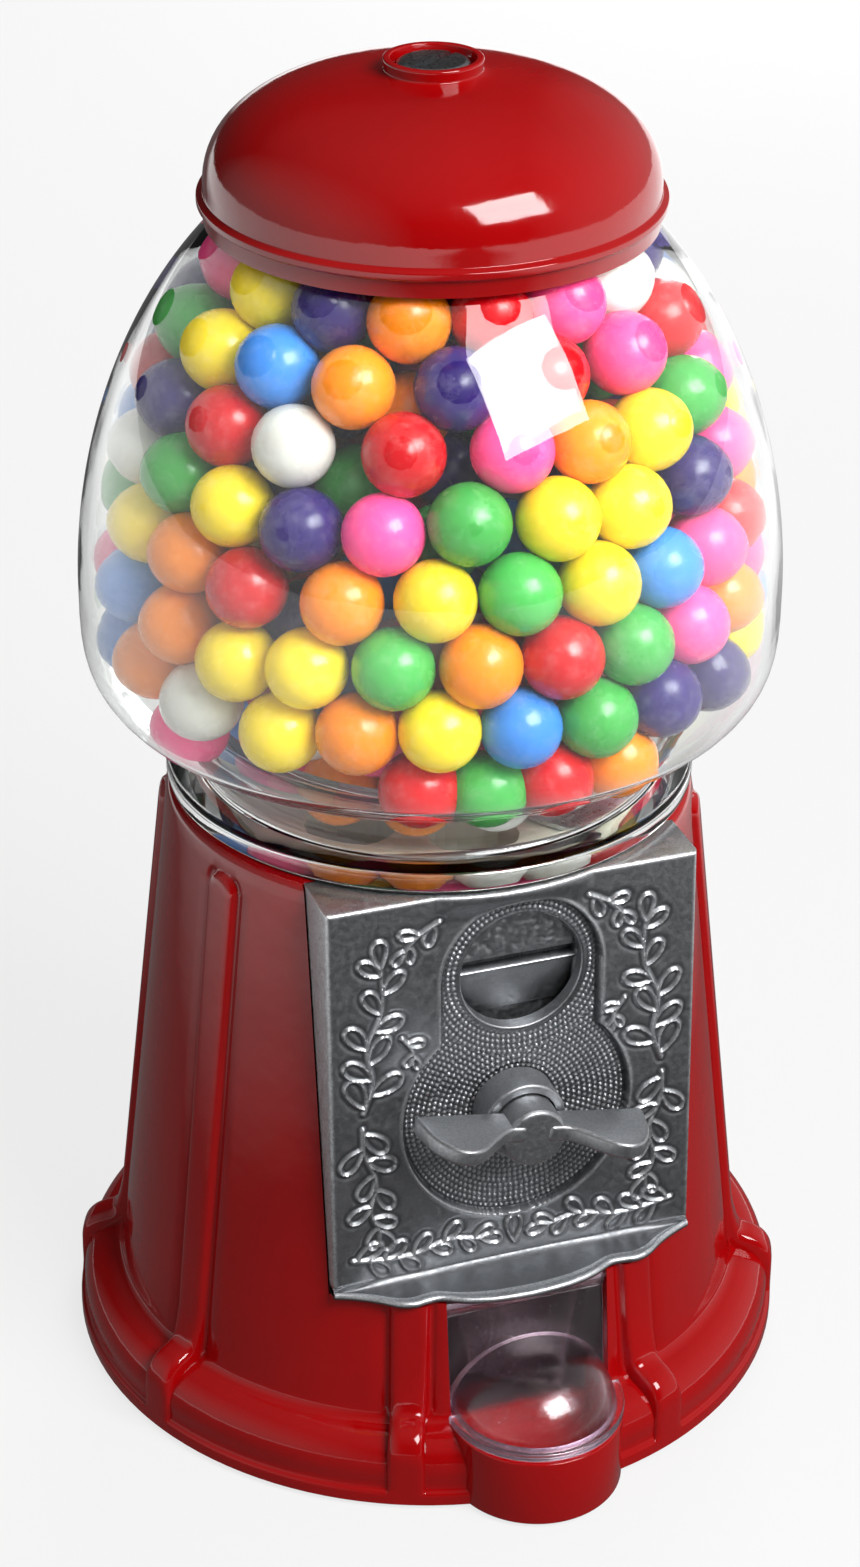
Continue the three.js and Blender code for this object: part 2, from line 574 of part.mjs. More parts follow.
function doorPanel() {
  const side = outline([
    [-59.4, HINGE_Z], [-61.9, DOOR_BOTTOM + 0.4], [-60.4, DOOR_BOTTOM + 0.4], [-57.8, HINGE_Z],
  ]);
  return across(side, CHUTE_HALF_WIDTH - CLEARANCE);
}

function chuteDoor() {
  const outer = join(domeSolid(DOME_RADIUS).subtract(block(-40, 40, -60.6, -40, 0, 60)), doorPanel(),
    pegAlongX(2.3, CHUTE_HALF_WIDTH - CLEARANCE, HINGE_Y, HINGE_Z, 20));
  const rim = raised(outline([...arc(0, DOME_CENTRE_Y, 18.5, 180, 360, 24), [17, DOME_CENTRE_Y], [17, -60.6],
    [-17, -60.6], [-17, DOME_CENTRE_Y]]), DOOR_BOTTOM, DOOR_BOTTOM + 1.8);
  const below = block(-40, 40, -95, -40, -5, DOOR_BOTTOM);
  return cut(join(outer, rim), domeSolid(DOME_RADIUS - DOME_SHELL), below,
    pegAlongX(1.5, 20, HINGE_Y, HINGE_Z));
}

clear('chute_door', chuteDoor());
steel('door_pin', pegAlongX(1.2, 20.2, HINGE_Y, HINGE_Z, 14));

// ---------------------------------------------------------------- globe and gumballs
// Outside radius of the glass at a height, from the neck to the mouth.
function globeRadius(z) {
  const [half, power] = z > GLOBE_MIDDLE ? [GLOBE_RISE, 2] : [GLOBE_DROP, GLOBE_SQUARENESS];
  return GLOBE_RADIUS * (1 - (Math.abs(z - GLOBE_MIDDLE) / half) ** power) ** (1 / power);
}

const NECK_TOP = GLOBE_MIDDLE
  - GLOBE_DROP * (1 - (GLOBE_NECK_RADIUS / GLOBE_RADIUS) ** GLOBE_SQUARENESS) ** (1 / GLOBE_SQUARENESS);

function globeLine(inset) {
  const heights = [NECK_TOP, 150.3, 152.5, 156.5, 163, 174, 186, 198, 210, 222, 232, 241, GLOBE_TOP];
  return heights.map((z) => [globeRadius(z) - inset, z]);
}

function globe() {
  const outside = globeLine(0);
  const inside = globeLine(GLASS).reverse();
  const neck = GLOBE_NECK_RADIUS - GLASS;
  return turned([
    [neck, GLOBE_BOTTOM], [GLOBE_FLANGE_RADIUS, GLOBE_BOTTOM], [GLOBE_FLANGE_RADIUS, 136.4],
    [GLOBE_NECK_RADIUS, 137.4], ...outside, ...inside.slice(0, -1), [neck, NECK_TOP + GLASS],
  ], 40);
}

clear('globe', globe());
rubber('globe_gasket', turned([[47.6, 131.3], [51.6, 131.3], [51.6, 132.0], [47.6, 132.0]], 48));

function gumballLoad() {
  const gap = GLASS + 1.0;
  const heights = [NECK_TOP + 4, 156.5, 162, 174, 190, 206, 220, 232];
  const side = heights.map((z) => [globeRadius(z) - gap, z]);
  const neck = GLOBE_NECK_RADIUS - gap;
  return turned([[7.2, 136.6], [neck, 136.6], [neck, NECK_TOP + 3], ...side, [30, 239], [3.6, 243], [3.6, 140],
    [7.2, 138]], 32);
}

piece('gumball_load', gumballLoad(), 0xd8a23a, 0.3, 0.0);

// ---------------------------------------------------------------- lid and centre rod
function lidDome(drop, radius, from, steps) {
  const points = [];
  for (let i = 0; i <= steps; i += 1) {
    const share = from + (1 - from) * i / steps;
    const angle = share * Math.acos((LID_BOSS_RADIUS - 0.4) / radius);
    points.push([radius * Math.cos(angle), LID_BEAD_Z + 0.9 + (LID_DOME_TOP - LID_BEAD_Z - 0.9 - drop)
      * Math.sin(angle)]);
  }
  return points;
}

function lid() {
  const outside = lidDome(0, LID_DOME_RADIUS, 0, 8);
  const inside = lidDome(LID_THICKNESS, LID_DOME_RADIUS - LID_THICKNESS, 0, 6).reverse();
  return turned([
    [43.3, LID_BOTTOM], [43.5, 252.8], [LID_RADIUS, 253.4], [LID_RADIUS, LID_BEAD_Z + 0.5], ...outside,
    [LID_BOSS_RADIUS, TOTAL_HEIGHT], [8.0, TOTAL_HEIGHT], [8.0, 276.6], [5.0, 276.6], [5.0, 274.8],
    ...inside, [42.1, LID_BOTTOM],
  ], 40);
}

enamel('lid', lid());
rubber('lid_gasket', turned([[36.6, GLOBE_TOP + 0.3], [40.8, GLOBE_TOP + 0.3], [41.4, 254.0], [40.4, 254.0],
  [39.4, GLOBE_TOP + 1.7], [36.6, GLOBE_TOP + 1.7]], 48));

function lidNut() {
  const whole = turned([[ROD_RADIUS + CLEARANCE, 266], [4.6, 266], [4.6, 276.9], [6.9, 276.9], [6.9, 278.9],
    [6.2, 279.5], [0, 279.5], [0, 275], [ROD_RADIUS + CLEARANCE, 275]], 28);
  return whole.subtract(block(-7.5, 7.5, -0.7, 0.7, 278.2, 281).rotate([0, 0, 35]));
}

steel('lid_nut', lidNut());
steel('centre_rod', peg(ROD_RADIUS, ROD_BOTTOM, ROD_TOP, 16));

// ---------------------------------------------------------------- base
const PLUG_Y = 36;

function bottomPlate() {
  const holes = [disc(0, 0, ROD_RADIUS + CLEARANCE, 16), disc(0, PLUG_Y, 9.0, 20)];
  const sheet = raised(outline(disc(0, 0, 72.1, 48), holes.map((h) => h.reverse())), PLATE_UNDER_Z,
    PLATE_UNDER_Z + 1.3);
  return sheet.subtract(block(-CUP_RADIUS - CLEARANCE, CUP_RADIUS + CLEARANCE, -80, -54, 0, 20));
}

steel('bottom_plate', bottomPlate());
rubber('coin_plug', turned([[0, 3.4], [10.8, 3.4], [11.2, 4.9], [8.5, 4.9], [8.3, 9.0], [0, 9.0]], 24)
  .translate([0, PLUG_Y, 0]));
steel('rod_washer', turned([[ROD_RADIUS + CLEARANCE, 3.9], [9, 3.9], [9, 4.9], [ROD_RADIUS + CLEARANCE, 4.9]], 24));
steel('rod_nut', hexNut(6.3, 1.0, 3.6));
for (let i = 0; i < 4; i += 1) {
  const [x, y] = polar(0, 0, 60, 45 + 90 * i);
  rubber(`foot_${i + 1}`, turned([[0, 0], [6.4, 0], [7.0, 0.6], [7.0, 4.9], [0, 4.9]], 24).translate([x, y, 0]));
}

export default machine;
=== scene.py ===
"""A countertop gumball machine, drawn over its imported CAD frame.

Shapes are drawn in millimetres about the globe's axis, with the front towards -Y, and place() moves them into
the frame.
"""

import json
import math

import bmesh
import bpy
import numpy as np
from mathutils import Matrix, Vector


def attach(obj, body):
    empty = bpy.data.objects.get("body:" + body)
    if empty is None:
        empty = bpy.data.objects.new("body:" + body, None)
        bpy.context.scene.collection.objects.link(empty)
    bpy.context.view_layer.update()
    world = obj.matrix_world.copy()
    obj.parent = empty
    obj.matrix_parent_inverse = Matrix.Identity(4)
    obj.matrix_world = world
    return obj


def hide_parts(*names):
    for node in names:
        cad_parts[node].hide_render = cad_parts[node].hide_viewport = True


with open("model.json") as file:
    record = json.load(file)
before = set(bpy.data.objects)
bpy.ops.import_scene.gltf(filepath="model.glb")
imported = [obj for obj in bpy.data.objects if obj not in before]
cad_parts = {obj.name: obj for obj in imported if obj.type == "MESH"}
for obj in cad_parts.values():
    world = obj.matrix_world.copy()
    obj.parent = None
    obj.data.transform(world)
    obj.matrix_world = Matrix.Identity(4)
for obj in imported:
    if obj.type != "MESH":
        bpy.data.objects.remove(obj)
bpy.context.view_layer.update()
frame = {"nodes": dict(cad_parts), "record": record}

SET_BACK = 4.45  # the globe's axis stands this far behind the centre of the footprint
DETAIL = 1.0

# The body
WALL_TOP, WALL_TOP_RADIUS, WALL_TAPER = 127.3, 54.0, 0.1127
BODY_BOTTOM, BODY_TOP = 0.8, 131.0
STRAP_HALF, STRAP_PROUD, GROOVE_DEEP = 3.7, 1.25, 0.55
CUP_Y, CUP_RADIUS, CUP_WALL, CUP_TOP = -67.5, 17.9, 1.6, 16.3
CHUTE_HALF = 17.3
# The front plate
STUD = 1.15  # from stud to stud in the keyhole recess
PLATE_HALF, PLATE_BOTTOM, PLATE_TOP, PLATE_FRONT, PLATE_BACK = 38.4, 43.0, 131.0, -49.8, -36.5
PLATE_LEAN = 0.0412
HANDLE_Z, RECESS = 80.8, 1.5
WINDOW_X, WINDOW_Z, WINDOW_RADIUS = 2.0, 110.5, 12.6
RING_X, RING_Z, RING_RADIUS = 1.5, 110.8, 16.6
DIAL_X, DIAL_Z, DIAL_RADIUS = 0.6, 79.7, 23.9
AWNING_TOP, AWNING_EDGE = 46.6, 44.5
# The globe and the lid
GLOBE_RADIUS, GLOBE_MIDDLE, GLOBE_RISE, GLOBE_DROP, GLASS = 69.6, 174.0, 92.4, 27.0, 2.6
NECK_RADIUS, GLOBE_TOP = 47.0, 250.2
LID_BEAD_Z, LID_DOME, LID_TOP = 254.2, 43.2, 277.4
LID_FULL = 0.84  # 1 is an ellipse, and less is fuller at the shoulder
BALL = 7.75  # radius of a 5/8 in gumball, a little worn
# The chute door
DOME_RADIUS, DOME_RISE, DOME_Y, DOME_SHELL = 17.0, 0.8, -66.5, 1.4
DOOR_BOTTOM, HINGE_Y, HINGE_Z = 16.6, -58.4, 40.0
FLANGE_RADIUS = 18.5


# ------------------------------------------------------------------ shapes
def solid(name, points, faces):
    mesh = bpy.data.meshes.new(name)
    mesh.from_pydata(np.asarray(points, float).tolist(), [], [list(map(int, f)) for f in faces])
    mesh.validate()
    obj = bpy.data.objects.new(name, mesh)
    bpy.context.collection.objects.link(obj)
    return obj


def tidy(mesh, join=0.0005):
    """Joins points that meet and turns every face outwards."""
    work = bmesh.new()
    work.from_mesh(mesh)
    bmesh.ops.remove_doubles(work, verts=work.verts, dist=join)
    bmesh.ops.recalc_face_normals(work, faces=work.faces)
    work.to_mesh(mesh)
    work.free()


def place(obj, material, body, finish, *stands_for, sharp=32, spin=None):
    """Moves a piece into the frame and onto its CAD body, in place of these CAD nodes."""
    tidy(obj.data)
    if spin is not None:
        obj.data.transform(spin)
    obj.data.transform(Matrix.Translation((0, SET_BACK / 1000, 0)) @ Matrix.Scale(0.001, 4))
    obj.data.materials.clear()
    obj.data.materials.append(material)
    obj.data.shade_smooth()
    obj.data.set_sharp_from_angle(angle=math.radians(sharp))
    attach(obj, body)
    if stands_for:
        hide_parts(*stands_for)
    return obj


def grid(rows, columns, wrap_rows=False, wrap_columns=False):
    """Quads over points that are listed row by row."""
    down = np.arange(rows if wrap_rows else rows - 1)
    along = np.arange(columns if wrap_columns else columns - 1)
    a, b = np.meshgrid(down, along, indexing="ij")
    a2, b2 = (a + 1) % rows, (b + 1) % columns
    quads = np.stack([a * columns + b, a * columns + b2, a2 * columns + b2, a2 * columns + b], -1)
    return quads.reshape(-1, 4)


def rounded(corners, steps=5, loop=True):
    """An outline through (across, up) corners. A third number rounds that corner off by about that radius."""
    line = []
    for i, corner in enumerate(corners):
        here = np.array(corner[:2], float)
        radius = corner[2] if len(corner) > 2 else 0
        if not radius or (not loop and i in (0, len(corners) - 1)):
            line.append(here)
            continue
        back = np.array(corners[i - 1][:2], float) - here
        on = np.array(corners[(i + 1) % len(corners)][:2], float) - here
        back_length, on_length = np.linalg.norm(back), np.linalg.norm(on)
        back, on = back / back_length, on / on_length
        half = math.acos(np.clip(back @ on, -0.9999, 0.9999)) / 2
        reach = min(radius / math.tan(half), 0.49 * back_length, 0.49 * on_length)
        for t in np.linspace(0, 1, steps + 1):
            start, end = here + back * reach, here + on * reach
            line.append((1 - t) ** 2 * start + 2 * t * (1 - t) * here + t * t * end)
    return np.array(line)


def smooth_line(points, steps=8, loop=False):
    """A curve through all the points."""
    points = np.asarray(points, float)
    count = len(points)
    line = []
    for i in range(count if loop else count - 1):
        take = [(i + k) % count if loop else min(max(i + k, 0), count - 1) for k in (-1, 0, 1, 2)]
        a, b, c, d = points[take]
        for t in np.arange(steps) / steps:
            bend, twist = 2 * a - 5 * b + 4 * c - d, 3 * b - a - 3 * c + d
            line.append(0.5 * (2 * b + (c - a) * t + bend * t**2 + twist * t**3))
    if not loop:
        line.append(points[-1])
    return np.array(line)


def turned(name, profile, steps=128, axis="z"):
    """A closed outline of (radius, height) turned about Z, or about Y with its height running back."""
    angle = np.linspace(0, 2 * np.pi, steps, endpoint=False)
    r, h = profile[:, :1], profile[:, 1:]
    if axis == "z":
        points = np.stack([r * np.sin(angle), -r * np.cos(angle), h + 0 * angle], -1)
    else:
        points = np.stack([r * np.sin(angle), h + 0 * angle, r * np.cos(angle)], -1)
    obj = solid(name, points.reshape(-1, 3), grid(len(profile), steps, True, True))
    tidy(obj.data)
    return obj


def slab(name, outline, low, high, bevel=0.0, turn=None):
    """A plan outline raised from low to high, with its edges rounded by bevel."""
    work = bmesh.new()
    loop = [work.verts.new((x, y, low)) for x, y in outline]
    face = work.faces.new(loop)
    risen = bmesh.ops.extrude_face_region(work, geom=[face])["geom"]
    lifted = [g for g in risen if isinstance(g, bmesh.types.BMVert)]
    bmesh.ops.translate(work, vec=(0, 0, high - low), verts=lifted)
    bmesh.ops.recalc_face_normals(work, faces=work.faces)
    if bevel:
        edges = [e for e in work.edges if abs(e.verts[0].co.z - e.verts[1].co.z) < 1e-6]
        bmesh.ops.bevel(work, geom=edges, offset=bevel, segments=4, profile=0.5, affect="EDGES",
                        clamp_overlap=True)
    mesh = bpy.data.meshes.new(name)
    work.to_mesh(mesh)
    work.free()
    if turn:
        mesh.transform(turn)
    obj = bpy.data.objects.new(name, mesh)
    bpy.context.collection.objects.link(obj)
    return obj


def block(low, high):
    low, high = Vector(low), Vector(high)
    corners = [(x, y) for x, y in ((low.x, low.y), (high.x, low.y), (high.x, high.y), (low.x, high.y))]
    return slab("block", corners, low.z, high.z)


def combine(obj, tool, operation="DIFFERENCE"):
    """Cuts the tool away from the piece, or joins it on, and removes the tool."""
    change = obj.modifiers.new(operation, "BOOLEAN")
    change.object, change.operation, change.solver = tool, operation, "EXACT"
    bpy.context.view_layer.update()
    result = bpy.data.meshes.new_from_object(obj.evaluated_get(bpy.context.evaluated_depsgraph_get()))
    obj.modifiers.clear()
    obj.data = result
    bpy.data.objects.remove(tool)
    return obj


def merge(first, *others):
    """Makes one object of several that aren't in the frame yet."""
    work = bmesh.new()
    for obj in (first, *others):
        work.from_mesh(obj.data)
    work.to_mesh(first.data)
    work.free()
    for obj in others:
        bpy.data.objects.remove(obj)
    return first


def step_up(value, start, end):
    t = np.clip((value - start) / (end - start), 0, 1)
    return t * t * (3 - 2 * t)


# ------------------------------------------------------------------ materials
PLAIN = 0.6  # the relief of plain metal, between 0 in the low places and 1 on the high edges


def linear(hex_colour):
    """An sRGB hex colour as the linear RGBA that the shaders take."""
    channels = [int(hex_colour[i : i + 2], 16) / 255 for i in (1, 3, 5)]
    return [c / 12.92 if c <= 0.04045 else ((c + 0.055) / 1.055) ** 2.4 for c in channels] + [1.0]


def add(tree, kind, sockets=None, **options):
    """Adds a shader node. A socket's value is linked if it is another node's output, and set if not."""
    node = tree.nodes.new("ShaderNode" + kind)
    for name, value in options.items():
        setattr(node, name, value)
    for name, value in (sockets or {}).items():
        if isinstance(value, bpy.types.NodeSocket):
            tree.links.new(value, node.inputs[name])
        else:
            node.inputs[name].default_value = value
    return node


def new_material(name):
    material = bpy.data.materials.new(name)
    material.use_nodes = True
    material.node_tree.nodes.clear()
    return material, material.node_tree


def millimetres(tree):
    """The piece's own coordinates, in millimetres."""
    place_ = add(tree, "TexCoord").outputs["Object"]
    return add(tree, "VectorMath", {0: place_, 1: (1000, 1000, 1000)}, operation="MULTIPLY").outputs[0]


def noise(tree, size, detail=2.0, roughness=0.5):
    """Soft noise whose lumps are about this many millimetres across."""
    return add(tree, "TexNoise", {"Vector": millimetres(tree), "Scale": 1 / size, "Detail": detail,
                                  "Roughness": roughness}).outputs["Fac"]


def ramp(tree, value, *stops):
    node = add(tree, "ValToRGB", {"Fac": value})
    elements = node.color_ramp.elements
    while len(elements) < len(stops):
        elements.new(0.5)
    for element, (position, colour) in zip(elements, stops):
        element.position = position
        element.color = linear(colour) if isinstance(colour, str) else (colour, colour, colour, 1)
    return node.outputs["Color"]


def mix(tree, amount, first, second, blend="MIX"):
    node = add(tree, "Mix", data_type="RGBA", blend_type=blend)
    for index, value in ((0, amount), (6, first), (7, second)):
        if isinstance(value, bpy.types.NodeSocket):
            tree.links.new(value, node.inputs[index])
        else:
            node.inputs[index].default_value = linear(value) if isinstance(value, str) else value
    return node.outputs[2]


def bump(tree, height, distance, strength=1.0, under=None):
    sockets = {"Height": height, "Distance": distance / 1000, "Strength": strength}
    if under is not None:
        sockets["Normal"] = under
    return add(tree, "Bump", sockets).outputs["Normal"]


def surface(tree, **sockets):
    """The Principled node that ends a material, and its output."""
    shader = add(tree, "BsdfPrincipled", {name.replace("_", " "): value for name, value in sockets.items()})
    add(tree, "OutputMaterial", {"Surface": shader.outputs[0]})
    return shader


def red_enamel():
    # Stoved enamel on an aluminium casting: a thick glossy coat with a faint orange peel over the casting.
    material, tree = new_material("red_enamel")
    colour = mix(tree, noise(tree, 30, 3), "#960306", "#AA0608")
    peel = bump(tree, noise(tree, 2.2, 2), 0.05, 0.5)
    peel = bump(tree, noise(tree, 14, 2), 0.35, 0.5, peel)
    smear = ramp(tree, noise(tree, 18, 4, 0.65), (0.35, 0.055), (0.7, 0.13))
    surface(tree, Base_Color=colour, Roughness=smear, IOR=1.5, Normal=peel, Coat_Weight=0.15,
            Coat_Roughness=0.04)
    return material


def cast_zinc():
    # Tumbled die-cast zinc: a finely grained grey metal, lighter on its high edges from wear and painted
    # highlights, with painted shade in its low places.
    material, tree = new_material("cast_zinc")
    stored = add(tree, "Attribute", attribute_name="relief", attribute_type="GEOMETRY").outputs["Fac"]
    relief = add(tree, "Math", {0: stored, 1: PLAIN}, operation="ADD").outputs[0]
    tone = ramp(tree, relief, (0.0, "#48494B"), (0.3, "#77797C"), (0.5, "#A2A4A7"), (0.75, "#C8CACD"),
                (1.0, "#EEF0F3"))
    tone = mix(tree, ramp(tree, noise(tree, 0.5, 2), (0.35, 0.0), (0.7, 0.45)), tone, "#7E8083")
    tone = mix(tree, ramp(tree, noise(tree, 9, 4), (0.4, 0.0), (0.75, 0.2)), tone, "#B4B5B8")
    grain = bump(tree, noise(tree, 0.35, 3, 0.6), 0.06, 0.55)
    grain = bump(tree, noise(tree, 5, 2), 0.2, 0.4, grain)
    rough = ramp(tree, noise(tree, 1.2, 3), (0.3, 0.34), (0.7, 0.52))
    surface(tree, Base_Color=tone, Metallic=1.0, Roughness=rough, Normal=grain)
    return material


def steel():
    # Zinc-plated or bright mild steel: pale, with short turned or rolled scratches.
    material, tree = new_material("steel")
    tone = mix(tree, noise(tree, 6, 4), "#A9ACB0", "#C9CBCE")
    rough = ramp(tree, noise(tree, 0.8, 4, 0.7), (0.3, 0.22), (0.75, 0.42))
    turned_marks = bump(tree, noise(tree, 0.5, 3), 0.02, 0.4)
    surface(tree, Base_Color=tone, Metallic=1.0, Roughness=rough, Normal=turned_marks)
    return material


def rubber():
    # Moulded black rubber: dull, with dust that greys it.
    material, tree = new_material("rubber")
    tone = mix(tree, ramp(tree, noise(tree, 3, 5, 0.7), (0.45, 0.0), (0.8, 0.4)), "#161617", "#3A3938")
    skin = bump(tree, noise(tree, 0.6, 3), 0.05, 0.4)
    surface(tree, Base_Color=tone, Roughness=0.78, IOR=1.52, Normal=skin)
    return material


def black_plastic():
    # Moulded ABS: a brown black that stands in as painted shade inside the chute behind the door, with a fine
    # spark-eroded texture and a dull shine.
    material, tree = new_material("black_plastic")
    tone = mix(tree, ramp(tree, noise(tree, 4, 4, 0.6), (0.4, 0.0), (0.8, 0.5)), "#1C0D0F", "#2E1A1C")
    surface(tree, Base_Color=tone, Roughness=0.5, IOR=1.53, Normal=bump(tree, noise(tree, 0.5, 3), 0.03, 0.5))
    return material


def nylon():
    # Moulded natural nylon: waxy ivory that lets a little light in.
    material, tree = new_material("nylon")
    tone = mix(tree, noise(tree, 8, 3), "#DDD6C2", "#EBE6D6")
    rough = ramp(tree, noise(tree, 2, 3), (0.3, 0.38), (0.7, 0.55))
    surface(tree, Base_Color=tone, Roughness=rough, IOR=1.53, Subsurface_Weight=0.15,
            Subsurface_Radius=(0.002, 0.0015, 0.001))
    return material


def lamps_through(tree, shader, tint):
    """Lets the lamps' light through a clear wall, so that what is behind it is lit."""
    path = add(tree, "LightPath")
    clear = add(tree, "BsdfTransparent", {"Color": tint})
    shadow = path.outputs["Is Shadow Ray"]
    both = add(tree, "MixShader", {0: shadow, 1: shader.outputs[0], 2: clear.outputs[0]})
    add(tree, "OutputMaterial", {"Surface": both.outputs[0]})


def globe_glass():
    # Blown soda glass: clear, with slow waves from the mould and a faint pull of thickness.
    material, tree = new_material("globe_glass")
    waves = bump(tree, noise(tree, 28, 2), 0.5, 0.35)
    glass = add(tree, "BsdfPrincipled", {"Base Color": linear("#FBFDFC"), "Roughness": 0.0, "IOR": 1.5,
                                         "Transmission Weight": 1.0, "Normal": waves})
    lamps_through(tree, glass, linear("#F4F7F6"))
    return material


def door_plastic():
    # Injection-moulded clear styrene: glassy, slightly lilac, with hair scratches and dust on its outside.
    material, tree = new_material("door_plastic")
    hairs = ramp(tree, noise(tree, 0.7, 6, 0.8), (0.45, 0.12), (0.7, 0.3))
    sink = bump(tree, noise(tree, 9, 2), 0.2, 0.3)
    plastic = add(tree, "BsdfPrincipled", {"Base Color": linear("#E6D3DB"), "Roughness": hairs, "IOR": 1.55,
                                           "Transmission Weight": 1.0, "Normal": sink})
    lamps_through(tree, plastic, linear("#EDE9F2"))
    return material


def candy():
    # Panned sugar shell, waxed: each ball its own colour, with paler mottling, fine pits and a soft polish.
    material, tree = new_material("candy")
    own = add(tree, "Attribute", attribute_name="shell", attribute_type="GEOMETRY").outputs["Color"]
    paler = mix(tree, 0.2, own, "#FFFFFF")
    tone = mix(tree, ramp(tree, noise(tree, 3.2, 4, 0.65), (0.5, 0.0), (0.85, 0.45)), own, paler)
    pits = bump(tree, noise(tree, 1.1, 3), 0.06, 0.5)
    pits = bump(tree, noise(tree, 5, 2), 0.3, 0.4, pits)
    rough = ramp(tree, noise(tree, 4, 3), (0.3, 0.16), (0.75, 0.34))
    surface(tree, Base_Color=tone, Roughness=rough, IOR=1.48, Normal=pits, Subsurface_Weight=0.08,
            Subsurface_Radius=(0.002, 0.002, 0.002))
    return material


RED, ZINC, STEEL, RUBBER, PAINTED_SHADE_BLACK = red_enamel(), cast_zinc(), steel(), rubber(), black_plastic()
NYLON, GLASS_CLEAR, STYRENE, CANDY = nylon(), globe_glass(), door_plastic(), candy()


def dress_cad_pieces():
    """The pieces that stay as the CAD drew them get the material of their slot."""
    by_slot = {"red_enamel": RED, "cast_zinc": ZINC, "steel": STEEL, "rubber": RUBBER, "nylon": NYLON,
               "black_plastic": PAINTED_SHADE_BLACK,
               "clear_glass": GLASS_CLEAR, "clear_plastic": STYRENE, "candy": CANDY}
    for part in frame["record"]["subparts"]:
        piece = frame["nodes"][part["node"]]
        for slot in piece.material_slots:
            slot.material = by_slot[part["material_slot"]]


dress_cad_pieces()


# ------------------------------------------------------------------ body
def wall_radius(z):
    return WALL_TOP_RADIUS + (WALL_TOP - z) * WALL_TAPER


def body_profile():
    """Rows of (wall radius, wall height, strap radius, strap height), from the flange up."""
    foot = smooth_line([
        (76.1, 1.2, 76.1, 1.2), (76.1, 3.0, 76.1, 3.0), (75.9, 3.8, 76.1, 3.9), (75.2, 4.4, 76.1, 4.9),
        (75.0, 5.6, 76.1, 6.2), (75.1, 8.3, 76.1, 9.4), (74.6, 10.6, 76.0, 12.4), (73.5, 12.5, 75.3, 14.6),
        (71.8, 13.9, 73.9, 16.4), (69.8, 14.8, 72.0, 17.6), (68.0, 15.4, 70.2, 18.3),
        (67.0, 16.2, 69.0, 19.0), (66.5, 17.6, 68.2, 20.4),
        (wall_radius(22), 22, wall_radius(22) + 1.4, 23.5),
    ], 4)
    heights = [*np.linspace(27, 119, 14), *np.arange(120, 127.4, 0.4)]
    wall = [(wall_radius(z), z, wall_radius(z) + STRAP_PROUD, z) for z in heights]
    shoulder = rounded([(54.0, 127.3), (53.4, BODY_TOP, 3.4), (44.0, BODY_TOP)], 8, loop=False)
    return np.array([*foot, *wall, *[(r, z, r, z) for r, z in shoulder[1:]]])


def body():
    rows = body_profile()
    inside = [(44.0, 119.0), (36.0, 113.4), (wall_radius(113.4) - 3, 113.4), (wall_radius(16) - 3, 16),
              (69.5, 10.5), (69.5, 6.8), (72.6, 6.8), (72.6, BODY_BOTTOM), (75.7, BODY_BOTTOM)]
    rows = np.vstack([rows, [(r, z, r, z) for r, z in inside]])
    outer = len(rows) - len(inside)
    near = [0, 1.2, 2.2, 2.8, 3.1, 3.4, 3.65, 3.9, 4.15, 4.5, 4.9, 5.3, 5.8]
    offsets = np.array([-o for o in near[:0:-1]] + near)
    between = int(10 * DETAIL) + 2
    points = []
    for i, (wall_r, wall_z, strap_r, strap_z) in enumerate(rows):
        across = np.linspace(0, 1, between + 2)[1:-1]
        for k in range(8):
            centre = math.radians(22.5 + 45 * k)
            strap_angles = centre + offsets / wall_r
            next_strap = centre + math.radians(45) - offsets[-1] / wall_r
            gap = np.interp(across, [0, 1], [strap_angles[-1], next_strap])
            angles = np.concatenate([strap_angles, gap])
            away = np.concatenate([np.abs(offsets), np.full(between, 9.0)])
            away = np.where(strap_z > 122.8, np.hypot(away, max(strap_z - 122.8, 0)), away)
            round_top = np.sqrt(np.clip(1 - (away / (STRAP_HALF + 0.2)) ** 5, 0, 1))
            raised = round_top if i < outer else 0 * away
            channel = step_up(away, 3.8, 4.3) * step_up(away, 5.6, 5.0) * step_up(wall_z, 15.6, 19)
            channel = channel * step_up(wall_z, 127.2, 125.6) if i < outer else 0 * away
            r = wall_r + (strap_r - wall_r) * raised - GROOVE_DEEP * channel
            z = wall_z + (strap_z - wall_z) * raised
            points.append(np.stack([r * np.sin(angles), -r * np.cos(angles), z], -1))
    columns = 8 * (len(offsets) + between)
    obj = solid("body_casting", np.vstack(points), grid(len(rows), columns, True, True))
    tidy(obj.data)
    pocket_low = (-PLATE_HALF - 0.3, -95, PLATE_BOTTOM - 0.4)
    combine(obj, block(pocket_low, (PLATE_HALF + 0.3, PLATE_BACK + 0.3, 140)))
    combine(obj, slab("cup", cup_plan(CUP_RADIUS), BODY_BOTTOM, CUP_TOP, 0.5), "UNION")
    combine(obj, block((-CHUTE_HALF, -95, CUP_TOP - 0.1), (CHUTE_HALF, -50, PLATE_BOTTOM)))
    combine(obj, slab("cup_hollow", cup_plan(CUP_RADIUS - CUP_WALL, -52), 3.0, CUP_TOP + 6, 1.2))
    combine(obj, block((1 - CUP_RADIUS, -56.0, BODY_BOTTOM), (CUP_RADIUS - 1, -54.4, 7.6)), "UNION")
    place(obj, RED, "frame", "red_enamel", "body", sharp=38)


def cup_plan(radius, back=-56.0):
    angles = np.linspace(math.pi, 2 * math.pi, 49)
    front = [(radius * math.cos(a), CUP_Y + radius * math.sin(a)) for a in angles]
    return [*front, (radius, back), (-radius, back)]


body()


